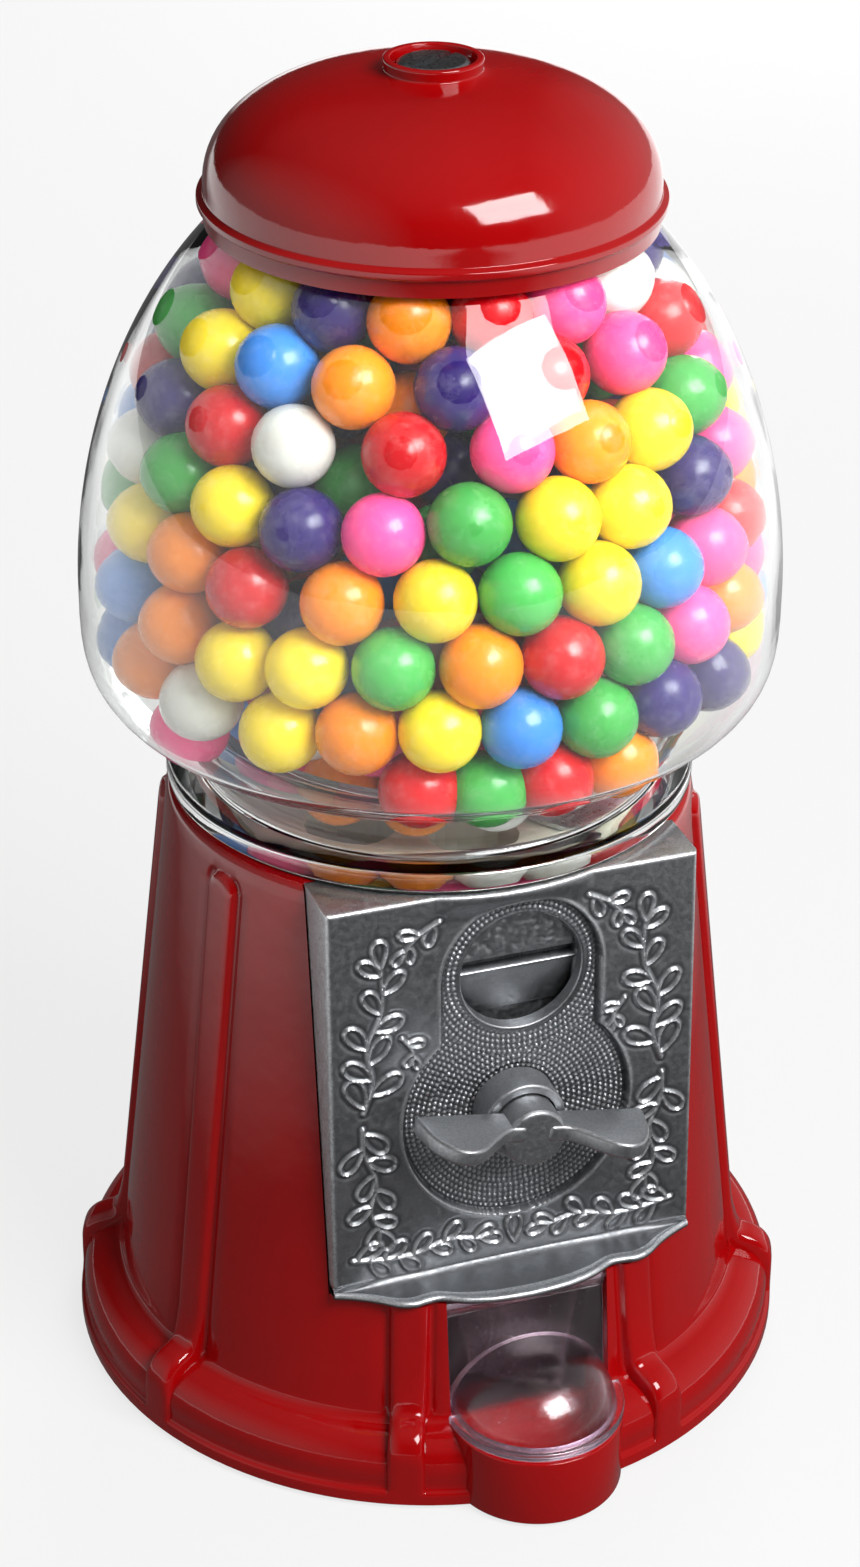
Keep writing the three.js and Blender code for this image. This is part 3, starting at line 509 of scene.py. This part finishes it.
# ------------------------------------------------------------------ front plate
def leaf(x, z, length, heading):
    """The outline of a leaf that grows from a point."""
    around = np.linspace(0, 2 * np.pi, 64)
    along = length * (1 - np.cos(around)) / 2
    aside = 0.3 * length * np.sin(around) * np.sin(around / 2) ** 0.7
    cos, sin = math.cos(heading), math.sin(heading)
    return np.stack([x + along * cos - aside * sin, z + along * sin + aside * cos], -1)


def sprig(corners, leaves, length, spread=48):
    """A stem with leaves at its sides and tip. Each line is (points, half width at its start, at its end)."""
    stem = smooth_line(corners, 24)
    lines = [(stem, 0.45, 0.3)]
    for i in range(leaves):
        k = int((i + 0.6) / leaves * (len(stem) - 2))
        ahead = stem[k + 1] - stem[k]
        heading = math.atan2(ahead[1], ahead[0]) + math.radians(spread) * (1 if i % 2 else -1)
        lines.append((leaf(*stem[k], length * (1 - 0.3 * i / leaves), heading), 0.32, 0.32))
    ahead = stem[-1] - stem[-3]
    lines.append((leaf(*stem[-1], 0.8 * length, math.atan2(ahead[1], ahead[0])), 0.32, 0.32))
    return lines


def ornament_lines():
    """The plate's sprigs of leaves: each stands for itself and its mirror image."""
    return [
        *sprig([(31.5, 85.5), (29.6, 92.0), (30.6, 100.0), (27.4, 108.5), (27.6, 117.5)], 9, 7.6),
        *sprig([(31.8, 82.0), (31.6, 76.0), (29.2, 69.0), (30.4, 62.0), (28.6, 57.5)], 8, 6.8),
        *sprig([(23.4, 101.0), (21.6, 98.4), (21.0, 96.4)], 2, 3.6),
        *sprig([(34.4, 51.5), (28.6, 50.6), (21.5, 50.4), (14.0, 52.2), (7.4, 51.0)], 9, 6.0, 40),
        *sprig([(15.5, 125.6), (19.6, 123.4), (22.6, 120.4)], 3, 4.6),
        (leaf(0.0, 48.6, 6.4, math.pi / 2), 0.34, 0.34),
    ]


def ornament(x, z):
    """How far each point of the grid is outside the sprigs' lines, in millimetres. Inside is below zero."""
    away = np.full(x.shape, 9.0)
    column, row = x[0], z[:, 0]
    for points, wide, narrow in ornament_lines():
        for side in (-1, 1):
            for (px, pz), width in zip(points, np.linspace(wide, narrow, len(points))):
                i0, i1 = np.searchsorted(column, [side * px - 1.5, side * px + 1.5])
                j0, j1 = np.searchsorted(row, [pz - 1.5, pz + 1.5])
                near = np.hypot(x[j0:j1, i0:i1] - side * px, z[j0:j1, i0:i1] - pz) - width
                away[j0:j1, i0:i1] = np.minimum(away[j0:j1, i0:i1], near)
    return away


def plate_relief(x, z):
    """The height of the plate's front over its flat, and a tone map from 0, low with painted shade, to 1,
    high with wear and painted highlights.
    """
    to_edge = np.minimum.reduce([PLATE_HALF - np.abs(x), PLATE_TOP - z, z - AWNING_TOP + 1.2])
    dial = np.hypot(x - DIAL_X, z - DIAL_Z)
    ring = np.hypot(x - RING_X, z - RING_Z)
    between = np.maximum(np.abs(x - RING_X) - RING_RADIUS, np.abs(z - 98) - 13)
    keyhole = np.minimum.reduce([dial - DIAL_RADIUS, ring - RING_RADIUS, between])
    window = np.hypot(x - WINDOW_X, z - WINDOW_Z) - WINDOW_RADIUS
    line = ornament(x, z)
    recess = step_up(keyhole, 0.22, -0.22)
    by_ring = ring < RING_RADIUS + 2.2
    reach = np.where(by_ring, ring, dial)
    angle = np.where(by_ring, np.arctan2(z - RING_Z, x - RING_X), np.arctan2(z - DIAL_Z, x - DIAL_X))
    row = np.round(reach / STUD)
    count = np.maximum(np.round(2 * np.pi * row), 6)
    turn = angle * count / (2 * np.pi) + 0.5 * (row % 2)
    from_stud = np.hypot(reach - STUD * row, (turn - np.round(turn)) * 2 * np.pi / count * reach)
    clear = step_up(keyhole, -0.5, -0.9) * step_up(window, 0.9, 1.3) * step_up(dial, 8.5, 9.2)
    studs = np.clip(1 - (from_stud / (0.47 * STUD)) ** 2, 0, 1) * clear * recess
    stroke = step_up(line, 0.16, -0.26) * step_up(keyhole, 0.7, 1.3) * step_up(to_edge, 1.2, 1.8)
    edge = np.clip(0.9 - to_edge, 0, 0.9)
    corner = 0.9 - np.sqrt(np.clip(0.81 - edge**2, 0, None))
    height = 0.55 * stroke - 0.16 * np.exp(-((line - 0.5) / 0.5) ** 2) - corner
    height = height + 0.3 * np.exp(-((keyhole - 0.5) / 0.42) ** 2)
    rim = 0.35 * np.exp(-((window - 0.6) / 0.5) ** 2)
    height = height * (1 - recess) + (rim + 0.45 * studs - RECESS) * recess
    under_flange = np.clip(np.sqrt(np.clip(52.4**2 - x**2, 0, None)) + PLATE_FRONT, 0, None)
    height = height + under_flange * step_up(z, 123.5, 129.8) ** 1.6
    # Painted highlights, partly wear, along the sprigs' and the plate's edges, on the keyhole's and window's
    # rims and on the studs; painted shade in the keyhole recess and in the groove beside the sprigs.
    wear_and_highlight = 0.45 * stroke * np.exp(-((line + 0.2) / 0.3) ** 2) + 0.45 * step_up(to_edge, 1.1, 0.3)
    wear_and_highlight = wear_and_highlight + 0.4 * np.exp(-((keyhole - 0.5) / 0.35) ** 2) * (1 - recess) + 0.42 * rim * recess
    painted_shade = 0.14 * recess + 0.22 * np.exp(-((line - 0.45) / 0.35) ** 2) * (1 - recess)
    wear_and_painted_light = 0.45 + wear_and_highlight + (0.45 * studs - 0.1) * recess - painted_shade
    return height, np.clip(wear_and_painted_light, 0, 1)


def relief_block(name, x, z, height, wear_and_painted_light, front, back, keep=None):
    """A block whose front is a grid of heights, with sides that run straight back."""
    rows, columns = x.shape
    face = np.stack([x, front - height, z], -1).reshape(-1, 3)
    quads = grid(rows, columns)
    if keep is not None:
        quads = quads[keep.reshape(-1)[quads].all(1)]
    index = np.arange(rows * columns).reshape(rows, columns)
    rim = np.concatenate([index[0, :], index[1:, -1], index[-1, -2::-1], index[-2:0:-1, 0]])
    skirt = face[rim].copy()
    skirt[:, 1] = back
    start = len(face)
    around = np.arange(len(rim))
    on = np.roll(around, -1)
    sides = np.stack([rim[around], rim[on], start + on, start + around], -1)
    obj = solid(name, np.vstack([face, skirt]), [*quads, *sides])
    attribute = obj.data.attributes.new("relief", "FLOAT", "POINT")
    stored = np.concatenate([wear_and_painted_light.ravel() - PLAIN, np.zeros(len(skirt))])
    attribute.data.foreach_set("value", stored.astype(np.float32))
    return obj


def lean_mesh(obj, from_y):
    for vertex in obj.data.vertices:
        if vertex.co.y < from_y:
            vertex.co.y -= PLATE_LEAN * (PLATE_TOP - vertex.co.z)


def plate_face():
    spacing = 0.26 / DETAIL
    x, z = np.meshgrid(
        np.linspace(-PLATE_HALF, PLATE_HALF, int(2 * PLATE_HALF / spacing)),
        np.linspace(PLATE_BOTTOM + 0.4, PLATE_TOP, int((PLATE_TOP - PLATE_BOTTOM) / spacing)))
    height, wear_and_painted_light = plate_relief(x, z)
    keep = np.hypot(x - WINDOW_X, z - WINDOW_Z) > WINDOW_RADIUS + 0.25
    face = relief_block("plate_casting", x, z, height, wear_and_painted_light, PLATE_FRONT, PLATE_BACK, keep)
    lean_mesh(face, PLATE_BACK - 1)
    place(face, ZINC, "frame", "cast_zinc", "front_plate", sharp=50)
    floor_y = PLATE_FRONT + RECESS
    lip = rounded([(WINDOW_RADIUS + 1.0, floor_y - 0.03), (WINDOW_RADIUS + 0.1, floor_y - 0.03, 0.5),
                   (WINDOW_RADIUS - 0.1, -46.9), (WINDOW_RADIUS + 1.0, -46.9)])
    ring = turned("window_lip", lip, 96, "y")
    ring.data.transform(Matrix.Translation((WINDOW_X, 0, WINDOW_Z)))
    lean_mesh(ring, -47)
    place(ring, ZINC, "frame", "cast_zinc")


def awning_reach(x):
    """How far forward the awning's edge stands."""
    corners = [(0, 65.7), (4, 65.5), (9, 64.9), (14, 63.4), (18.2, 61.3), (21, 61.2), (24, 61.5), (27, 60.5),
               (31, 57.5), (35, 55.2), (38.4, 53.7)]
    line = smooth_line(corners, 8)
    return np.interp(np.abs(x), line[:, 0], line[:, 1])


def awning():
    """The scalloped awning at the plate's foot: a coved top, a bead along its edge and a flat underside."""
    x = np.linspace(-PLATE_HALF, PLATE_HALF, int(150 * DETAIL))
    start = -PLATE_FRONT + PLATE_LEAN * (PLATE_TOP - AWNING_TOP)
    reach = awning_reach(x)
    top = np.interp(np.abs(x), [0, 32, PLATE_HALF], [AWNING_TOP, AWNING_TOP, AWNING_EDGE + 0.5])
    cove = [(0, 0.0), (0.0, 0.35), (0.06, 0.62), (0.2, 0.85), (0.45, 0.97), (0.75, 1.0), (0.86, 1.0)]
    rows = []
    for out, down in smooth_line(cove, 4):
        y = -(start - 0.4 + (reach - 1.3 - start) * out)
        rows.append(np.stack([x, y, top + (AWNING_EDGE - 0.35 - top) * down], -1))
    for angle in np.radians(np.linspace(150, -90, 10)):
        y = -(reach - 0.75 + 0.75 * np.cos(angle))
        rows.append(np.stack([x, y, 0 * x + PLATE_BOTTOM + 0.8 + 0.8 * np.sin(angle)], -1))
    rows.append(np.stack([x, 0 * x - 50.5, 0 * x + PLATE_BOTTOM], -1))
    rows.append(np.stack([x, 0 * x - 50.5, top], -1))
    obj = solid("awning", np.vstack(rows), grid(len(rows), len(x), True))
    ends = [[k * len(x) for k in range(len(rows))], [k * len(x) + len(x) - 1 for k in range(len(rows))]]
    work = bmesh.new()
    work.from_mesh(obj.data)
    work.verts.ensure_lookup_table()
    for end in ends:
        work.faces.new([work.verts[k] for k in end])
    work.to_mesh(obj.data)
    work.free()
    # Painted light, partly wear: the cove and the underside darker, the cove's top edge and the bead's crown
    # painted bright as highlights.
    wear_and_painted_light = np.full((len(rows), len(x)), 0.3)
    wear_and_painted_light[:2] = 0.8
    wear_and_painted_light[-13:-6] = 0.9
    attribute = obj.data.attributes.new("relief", "FLOAT", "POINT")
    attribute.data.foreach_set("value", (wear_and_painted_light.ravel() - PLAIN).astype(np.float32))
    place(obj, ZINC, "frame", "cast_zinc", sharp=50)


def coin_ramp():
    """Behind the window: a rough block, the coin slit, and a smooth ramp that curves in below it."""
    spacing = 0.3 / DETAIL
    x, z = np.meshgrid(np.linspace(-14.6, 14.6, int(29 / spacing)), np.linspace(100, 126, int(26 / spacing)))
    rng = np.random.default_rng(4)
    rough = rng.normal(0, 1, x.shape)
    for _ in range(3):
        beside = [np.roll(rough, way, axis) for way, axis in ((1, 0), (1, 1), (-1, 0), (-1, 1))]
        rough = (rough + beside[0] + beside[1] + beside[2] + beside[3]) / 5
    inside = step_up(np.abs(x), 12.9, 12.2)
    slit = step_up(z, 110.3, 110.7) * step_up(z, 112.8, 112.4) * inside
    ramp_in = np.clip((110.3 - z) / 10, 0, 1) ** 0.6 * inside
    edge = np.exp(-((z - 110.1) / 0.3) ** 2)
    height = 0.3 * rough * step_up(z, 112, 114) - 2.2 * slit - 1.7 * ramp_in + 0.25 * edge
    # Painted shade in the slit and down the ramp below it, and a painted highlight along the slit's lower
    # lip.
    wear_and_painted_light = 0.45 - 0.45 * slit - 0.1 * ramp_in + 0.5 * edge + 0.22 * rough * step_up(z, 112, 114)
    obj = relief_block("ramp_casting", x + WINDOW_X, z, height, np.clip(wear_and_painted_light, 0, 1), -46.35, -43.8)
    apron = block((WINDOW_X - 13, -43.9, 90), (WINDOW_X + 13, -43.45, 101))
    place(merge(obj, apron), ZINC, "frame", "cast_zinc", "coin_ramp", sharp=50)


plate_face()
awning()
coin_ramp()


# ------------------------------------------------------------------ handle
def handle():
    hub = rounded([(0, -64.4), (5.9, -64.4, 0.8), (6.4, -63.6, 0.5), (6.4, -52.2), (0, -52.2)])
    parts = [turned("handle_casting", hub, 64, "y")]
    for side in (-1, 1):
        outline = smooth_line([(0, 0.3), (0.2, 3.4), (1.3, 8.3), (3.8, 12.2), (7.0, 13.7), (10.4, 12.7),
                               (14.6, 9.0), (18.0, 6.4), (21.5, 6.0), (22, 3), (21.5, 0.2), (12, 0), (3, 0)],
                              6, loop=True)
        plan = [(side * (24.2 - inward), -58.6 - forward) for inward, forward in outline]
        parts.append(slab("blade", plan, -0.5, 3.0, 0.75))
    obj = merge(*parts)
    spin = Matrix.Translation((0, 0, HANDLE_Z)) @ Matrix.Rotation(math.radians(10), 4, "Y")
    place(obj, ZINC, "handle", "cast_zinc", "handle", sharp=40, spin=spin)
    ring = rounded([(6.8, -58.1), (8.6, -58.1, 0.8), (8.6, -51.1), (6.8, -51.1)])
    collar = turned("collar_casting", ring, 64, "y")
    place(collar, ZINC, "frame", "cast_zinc", "handle_collar", spin=Matrix.Translation((0, 0, HANDLE_Z)))


handle()


# ------------------------------------------------------------------ lid
def lid():
    dome = []
    for t in np.linspace(0, 1, 25):
        angle = t * math.acos((9.2 / LID_DOME) ** (1 / LID_FULL))
        rise = (LID_TOP - LID_BEAD_Z - 0.9) * math.sin(angle) ** LID_FULL
        dome.append((LID_DOME * math.cos(angle) ** LID_FULL, LID_BEAD_Z + 0.9 + rise))
    foot = rounded([(43.1, 249.3), (43.45, 252.4), (43.5, 252.6, 0.2), (44.4, 253.0, 0.4), (44.4, 254.3, 0.4),
                    (43.2, 254.9, 0.3), dome[1]], 4, loop=False)
    boss = rounded([dome[-2], (9.2, 277.6, 0.4), (9.5, 280.0, 0.5), (8.0, 280.0, 0.4), (7.9, 276.6, 0.2),
                    (4.9, 276.6)], 4, loop=False)
    under = [(4.9, 274.9), *[(r - 1.3, z - 1.3) for r, z in dome[-3:0:-2]], (41.9, 254.0), (41.9, 249.3)]
    shell = turned("lid_casting", np.array([*foot[:-1], *dome[1:-2], *boss, *under]), 160)
    place(shell, RED, "lid", "red_enamel", "lid")
    head = rounded([(0, 279.4), (6.0, 279.4, 0.7), (6.9, 278.9, 0.5), (6.9, 276.9), (4.6, 276.9), (4.6, 266),
                    (3.3, 266), (3.3, 275), (0, 275)])
    nut = turned("lid_nut_turned", head, 64)
    slot = block((-8, -0.8, 278.0), (8, 0.8, 281))
    slot.data.transform(Matrix.Rotation(math.radians(35), 4, "Z"))
    place(combine(nut, slot), STEEL, "lid_nut", "steel", "lid_nut")


lid()


# ------------------------------------------------------------------ globe
def globe_radius(z):
    half, power = (GLOBE_RISE, 2) if z > GLOBE_MIDDLE else (GLOBE_DROP, 4)
    return GLOBE_RADIUS * max(0.0, 1 - (abs(z - GLOBE_MIDDLE) / half) ** power) ** (1 / power)


NECK_TOP = GLOBE_MIDDLE - GLOBE_DROP * (1 - (NECK_RADIUS / GLOBE_RADIUS) ** 4) ** 0.25


def globe():
    angles = np.radians([*np.linspace(4, 30, 8), *np.linspace(34, 88, 16)])
    lower = []
    for a in angles:
        if GLOBE_RADIUS * math.sin(a) ** 0.5 > NECK_RADIUS + 2.5:
            lower.append((GLOBE_RADIUS * math.sin(a) ** 0.5, GLOBE_MIDDLE - GLOBE_DROP * math.cos(a) ** 0.5))
    upper = [(globe_radius(z), z) for z in np.linspace(GLOBE_MIDDLE + 3, GLOBE_TOP - 1.2, 40)]
    side = [*lower, *upper]
    outside = rounded([(44.6, 132.3, 0.5), (53.5, 132.3, 1.4), (53.5, 136.5, 1.6), (47.4, 137.5, 1.5),
                       (NECK_RADIUS, NECK_TOP, 1.6), side[1]], 6, loop=False)
    outside = outside[:-1]
    inner = []
    for r, z in side[::-1]:
        if r - GLASS > 44:
            inner.append((r - GLASS, z + (0.9 if z < 150 else 0.5 if z < 156 else 0)))
    mouth = side[-1][0]
    rim = [(mouth - 0.5, GLOBE_TOP - 0.3), (mouth - 1.3, GLOBE_TOP), (mouth - 2.2, GLOBE_TOP - 0.4)]
    neck = [(NECK_RADIUS - GLASS, NECK_TOP + 1.4), (NECK_RADIUS - GLASS, 133.5)]
    blown = turned("globe_blown", np.array([*outside, *side[1:], *rim, *inner, *neck]), 192)
    place(blown, GLASS_CLEAR, "frame", "clear_glass", "globe", sharp=60)


globe()

# ------------------------------------------------------------------ gumballs
SHELLS = {"R": "#C4000E", "O": "#F2860C", "Y": "#EBCF1E", "G": "#3FA046", "B": "#3A82D6", "P": "#FF4A90",
          "I": "#2A1B62", "W": "#DCDBD4"}
# The balls against the glass, row by row: height, the angle of the row's first ball (0 at the front, and less
# to the left), and the colours from there to the right.
ROWS = [
    (240, -97, "PYIORPWI"), (230, -119, "IGYBOIRPRWB"), (219, -121, "IRIRWRPOYGP"),
    (207, -112, "BWGYIPGYYIPY"),
    (194.5, -108, "GYOROYGYBPRO"), (181.5, -106, "PBOYYGORGPOP"), (168.5, -96, "BOWYOYBGIIYB"),
    (157, -91, "BPWPRGROPYB"), (145, -70, "POOWWR"),
]


def ball_room(z):
    """How far from the axis a ball's centre can be at a height."""
    if z < NECK_TOP + BALL:
        return NECK_RADIUS - GLASS - BALL - 0.2
    return max(globe_radius(z) - GLASS - BALL - 0.2, 1.0)


def pack_balls():
    """Balls that fill the globe: the listed ones against the glass, and the rest shaken in behind them."""
    rng = np.random.default_rng(11)
    places, colours, pinned = [], [], []
    for height, start, letters in ROWS:
        room = ball_room(height)
        pitch = 2 * math.asin(min(1, (BALL + 0.12) / room))
        count = int(2 * math.pi / pitch)
        pitch = 2 * math.pi / count
        for i in range(count):
            angle = math.radians(start) + pitch * i
            places.append((room * math.sin(angle), -room * math.cos(angle), height))
            colours.append(letters[i] if i < len(letters) else rng.choice(list(SHELLS)))
            pinned.append(1.0)
    for level, height in enumerate(np.arange(144.0, 240, 12.9)):
        room = ball_room(height) - 2 * BALL + 1.5
        for gx in np.arange(-60, 61, 15.8):
            for k, gy in enumerate(np.arange(-60, 61, 13.7)):
                x, y = gx + 7.9 * (k % 2) + 3.9 * (level % 2), gy + 4.5 * (level % 2)
                if 11.5 < math.hypot(x, y) < room:
                    places.append((x, y, height + rng.uniform(-1, 1)))
                    colours.append(rng.choice(list(SHELLS)))
                    pinned.append(0.0)
    places, pinned = np.array(places), np.array(pinned)
    for step in range(160):
        apart = places[:, None] - places[None]
        distance = np.linalg.norm(apart, axis=2) + 1e-9 + 99 * np.eye(len(places))
        push = np.clip(2 * BALL - distance, 0, None)
        places += (apart / distance[..., None] * push[..., None]).sum(1) * (0.32 - 0.12 * pinned[:, None])
        out = np.hypot(places[:, 0], places[:, 1])
        room = np.array([ball_room(z) for z in places[:, 2]])
        held = np.clip(out, 10.9, room)
        if step % 4 == 0:
            held = np.where(pinned > 0, np.clip(room, out * 0.6, None), held)
        places[:, :2] *= (held / out)[:, None]
        places[:, 2] = np.clip(places[:, 2], 144.6, 242)
    return places, colours


def gumballs():
    places, colours = pack_balls()
    rng = np.random.default_rng(5)
    rings, steps = int(13 * DETAIL) + 3, int(22 * DETAIL) + 4
    turns = np.linspace(0, 2 * np.pi, steps, endpoint=False)
    polar, round_ = np.meshgrid(np.linspace(0, np.pi, rings), turns, indexing="ij")
    unit = np.stack([np.sin(polar) * np.cos(round_), np.sin(polar) * np.sin(round_), np.cos(polar)], -1)
    unit = unit.reshape(-1, 3)
    quads = grid(rings, steps, False, True)
    points, faces, shells = [], [], []
    for i, (place_, letter) in enumerate(zip(places, colours)):
        turn = np.array(Vector(rng.normal(size=3)).to_track_quat("Z", "Y").to_matrix())
        size = BALL * rng.uniform(0.985, 1.005)
        points.append(unit @ turn.T * size * (1 + 0.006 * rng.normal(size=3)) + place_)
        faces.append(quads + i * len(unit))
        tone = np.array(linear(SHELLS[letter]))
        tone[:3] *= rng.uniform(0.88, 1.1)
        shells.append(np.tile(np.clip(tone, 0, 1), (len(unit), 1)))
    obj = solid("gumballs", np.vstack(points), np.vstack(faces))
    colour = obj.data.color_attributes.new("shell", "FLOAT_COLOR", "POINT")
    colour.data.foreach_set("color", np.vstack(shells).astype(np.float32).ravel())
    place(obj, CANDY, "frame", "candy", "gumball_load", sharp=80)


gumballs()

# ------------------------------------------------------------------ chute door

def dome_shell(radius, count):
    """Points of a quarter ball that runs back into a half-round arch."""
    rows = []
    for up in np.linspace(0, math.pi, count):
        line = [(radius * math.cos(up), -60.2, DOOR_BOTTOM + DOME_RISE * radius * math.sin(up))]
        for on in np.linspace(0, math.pi / 2, count // 2):
            across = radius * math.cos(up) * math.cos(on)
            high = DOME_RISE * radius * math.sin(up) * math.cos(on)
            line.append((across, DOME_Y - radius * math.sin(on), DOOR_BOTTOM + high))
        rows.append(line)
    return np.array(rows)


def chute_door():
    count = int(48 * DETAIL)
    outside, inside = dome_shell(DOME_RADIUS, count), dome_shell(DOME_RADIUS - DOME_SHELL, count)
    rows, columns = outside.shape[:2]
    faces = [*grid(rows, columns), *(grid(rows, columns)[:, ::-1] + rows * columns)]
    last = rows * columns
    for i in range(rows - 1):
        faces.append((i * columns, last + i * columns, last + (i + 1) * columns, (i + 1) * columns))
    for k in range(columns - 1):
        for i in (0, rows - 1):
            corner = i * columns + k
            faces.append((corner, corner + 1, last + corner + 1, last + corner))
    dome = solid("door_moulding", np.vstack([outside.reshape(-1, 3), inside.reshape(-1, 3)]), faces)
    arch = [(DOME_RADIUS * math.cos(a) * 0.93, DOOR_BOTTOM + DOME_RISE * DOME_RADIUS * math.sin(a) * 0.93)
            for a in np.linspace(0, math.pi, 41)]
    panel_plan = [(-17.0, DOOR_BOTTOM + 0.4), *arch[::-1], (17.0, DOOR_BOTTOM + 0.4), (17.0, 38.6),
                  (-17.0, 38.6)]
    stand = Matrix.Translation((0, -60.9, 0)) @ Matrix.Rotation(math.radians(90), 4, "X")
    panel = slab("panel", panel_plan, -0.75, 0.75, 0.3, stand)
    for vertex in panel.data.vertices:
        vertex.co.y += (vertex.co.z - 25) * 0.1087 - 0.15
    rim = np.linspace(math.pi, 2 * math.pi, 49)
    flange_plan = [(FLANGE_RADIUS * math.cos(a), DOME_Y + FLANGE_RADIUS * math.sin(a)) for a in rim]
    hollow = [(15.6 * math.cos(a), DOME_Y + 15.6 * math.sin(a)) for a in rim[::-1]]
    plan = [*flange_plan, (17.0, DOME_Y), (17.0, -61.2), (15.6, -61.2), *hollow, (-15.6, -61.2),
            (-17.0, -61.2), (-17.0, DOME_Y)]
    flange = slab("flange", plan, DOOR_BOTTOM, DOOR_BOTTOM + 1.9, 0.4)
    barrel = turned("barrel", rounded([(1.5, -17.0), (2.3, -17.0, 0.3), (2.3, 17.0, 0.3), (1.5, 17.0)]), 32)
    across = Matrix.Rotation(math.radians(90), 4, "Y")
    barrel.data.transform(Matrix.Translation((0, HINGE_Y, HINGE_Z)) @ across)
    place(merge(dome, panel, flange, barrel), STYRENE, "door", "clear_plastic", "chute_door", sharp=40)


chute_door()


# ------------------------------------------------------------------ studio
def floor():
    # White paper, lit until it is even: the machine only leaves a faint shadow on it.
    material, tree = new_material("studio_floor")
    paper = add(tree, "BsdfDiffuse", {"Color": mix(tree, noise(tree, 400, 2), "#6A6A6A", "#6C6C6C")})
    lit = add(tree, "Emission", {"Color": linear("#F6F6F6"), "Strength": 0.84})
    seen = add(tree, "AddShader", {0: paper.outputs[0], 1: lit.outputs[0]})
    dim = add(tree, "BsdfDiffuse", {"Color": linear("#B0B0B0")})
    # The strip lamps that lie along both sides show only as reflections.
    across = add(tree, "SeparateXYZ", {0: millimetres(tree)}).outputs["X"]
    aside = add(tree, "Math", {0: across, 1: 1 / 600}, operation="MULTIPLY").outputs[0]
    either_side = add(tree, "Math", {0: aside}, operation="ABSOLUTE").outputs[0]
    strip = ramp(tree, either_side, (0.3, 0.08), (0.75, 1.0))
    strips = add(tree, "Emission", {"Color": strip, "Strength": 1.5})
    path = add(tree, "LightPath")
    glossy = path.outputs["Is Glossy Ray"]
    unseen = add(tree, "MixShader", {0: glossy, 1: dim.outputs[0], 2: strips.outputs[0]})
    straight = add(tree, "Math", {0: path.outputs["Is Camera Ray"], 1: path.outputs["Is Transmission Ray"]},
                   operation="MAXIMUM").outputs[0]
    both = add(tree, "MixShader", {0: straight, 1: unseen.outputs[0], 2: seen.outputs[0]})
    add(tree, "OutputMaterial", {"Surface": both.outputs[0]})
    obj = solid("floor", [(-4, -4, 0), (4, -4, 0), (4, 4, 0), (-4, 4, 0)], [(0, 1, 2, 3)])
    obj.data.materials.append(material)


def softbox(name, azimuth, elevation, distance, width, height, power):
    """A square lamp that stands at these angles from the machine's front and faces the machine."""
    lamp = bpy.data.lights.new(name, "AREA")
    lamp.shape, lamp.size, lamp.size_y, lamp.energy = "RECTANGLE", width, height, power
    obj = bpy.data.objects.new(name, lamp)
    bpy.context.collection.objects.link(obj)
    a, e = math.radians(azimuth), math.radians(elevation)
    towards = Vector((math.sin(a) * math.cos(e), -math.cos(a) * math.cos(e), math.sin(e)))
    obj.location = towards * distance + Vector((0, 0, 0.15))
    obj.rotation_euler = (-towards).to_track_quat("-Z", "Y").to_euler()
    return obj


def surroundings():
    """A white tent, bright at its sides and darker in front, with a plain white backdrop."""
    world = bpy.data.worlds.new("studio")
    bpy.context.scene.world = world
    world.use_nodes = True
    tree = world.node_tree
    tree.nodes.clear()
    direction = add(tree, "TexCoord").outputs["Generated"]
    parts = add(tree, "SeparateXYZ", {0: direction})
    sideways = add(tree, "Math", {0: parts.outputs["X"]}, operation="ABSOLUTE").outputs[0]
    sides = ramp(tree, sideways, (0.45, 0.06), (0.85, 0.8), (1.0, 1.0))
    above = ramp(tree, parts.outputs["Z"], (0.5, 0.0), (1.0, 0.35))
    light = add(tree, "Background", {"Color": mix(tree, 1.0, sides, above, "SCREEN"), "Strength": 0.5})
    backdrop = add(tree, "Background", {"Color": linear("#F6F6F6"), "Strength": 1.0})
    path = add(tree, "LightPath")
    straight = add(tree, "Math", {0: path.outputs["Is Camera Ray"], 1: path.outputs["Is Transmission Ray"]},
                   operation="MAXIMUM").outputs[0]
    both = add(tree, "MixShader", {0: straight, 1: light.outputs[0], 2: backdrop.outputs[0]})
    add(tree, "OutputWorld", {"Surface": both.outputs[0]})


def camera():
    """Stands to the machine's left, above it, with a long lens."""
    data = bpy.data.cameras.new("camera")
    data.lens, data.sensor_width = 81.26, 36.0
    data.shift_x = 0.0007
    data.clip_start, data.clip_end = 0.05, 20
    obj = bpy.data.objects.new("camera", data)
    bpy.context.collection.objects.link(obj)
    a, e = math.radians(-19.6), math.radians(29.07)
    back = Vector((math.sin(a) * math.cos(e), -math.cos(a) * math.cos(e), math.sin(e)))
    aim = Vector((0, SET_BACK / 1000, 0.1269))
    obj.location = aim + back * 0.725
    level = (-back).to_track_quat("-Z", "Y")
    obj.rotation_mode = "QUATERNION"
    obj.rotation_quaternion = level @ Matrix.Rotation(math.radians(0.36), 4, "Z").to_quaternion()
    bpy.context.scene.camera = obj


floor()
softbox("key", 25, 43, 1.1, 0.62, 0.5, 15)
softbox("back", 150, 20, 1.3, 0.5, 0.9, 9).visible_glossy = False
surroundings()
camera()
bpy.context.scene.view_settings.view_transform = "Standard"
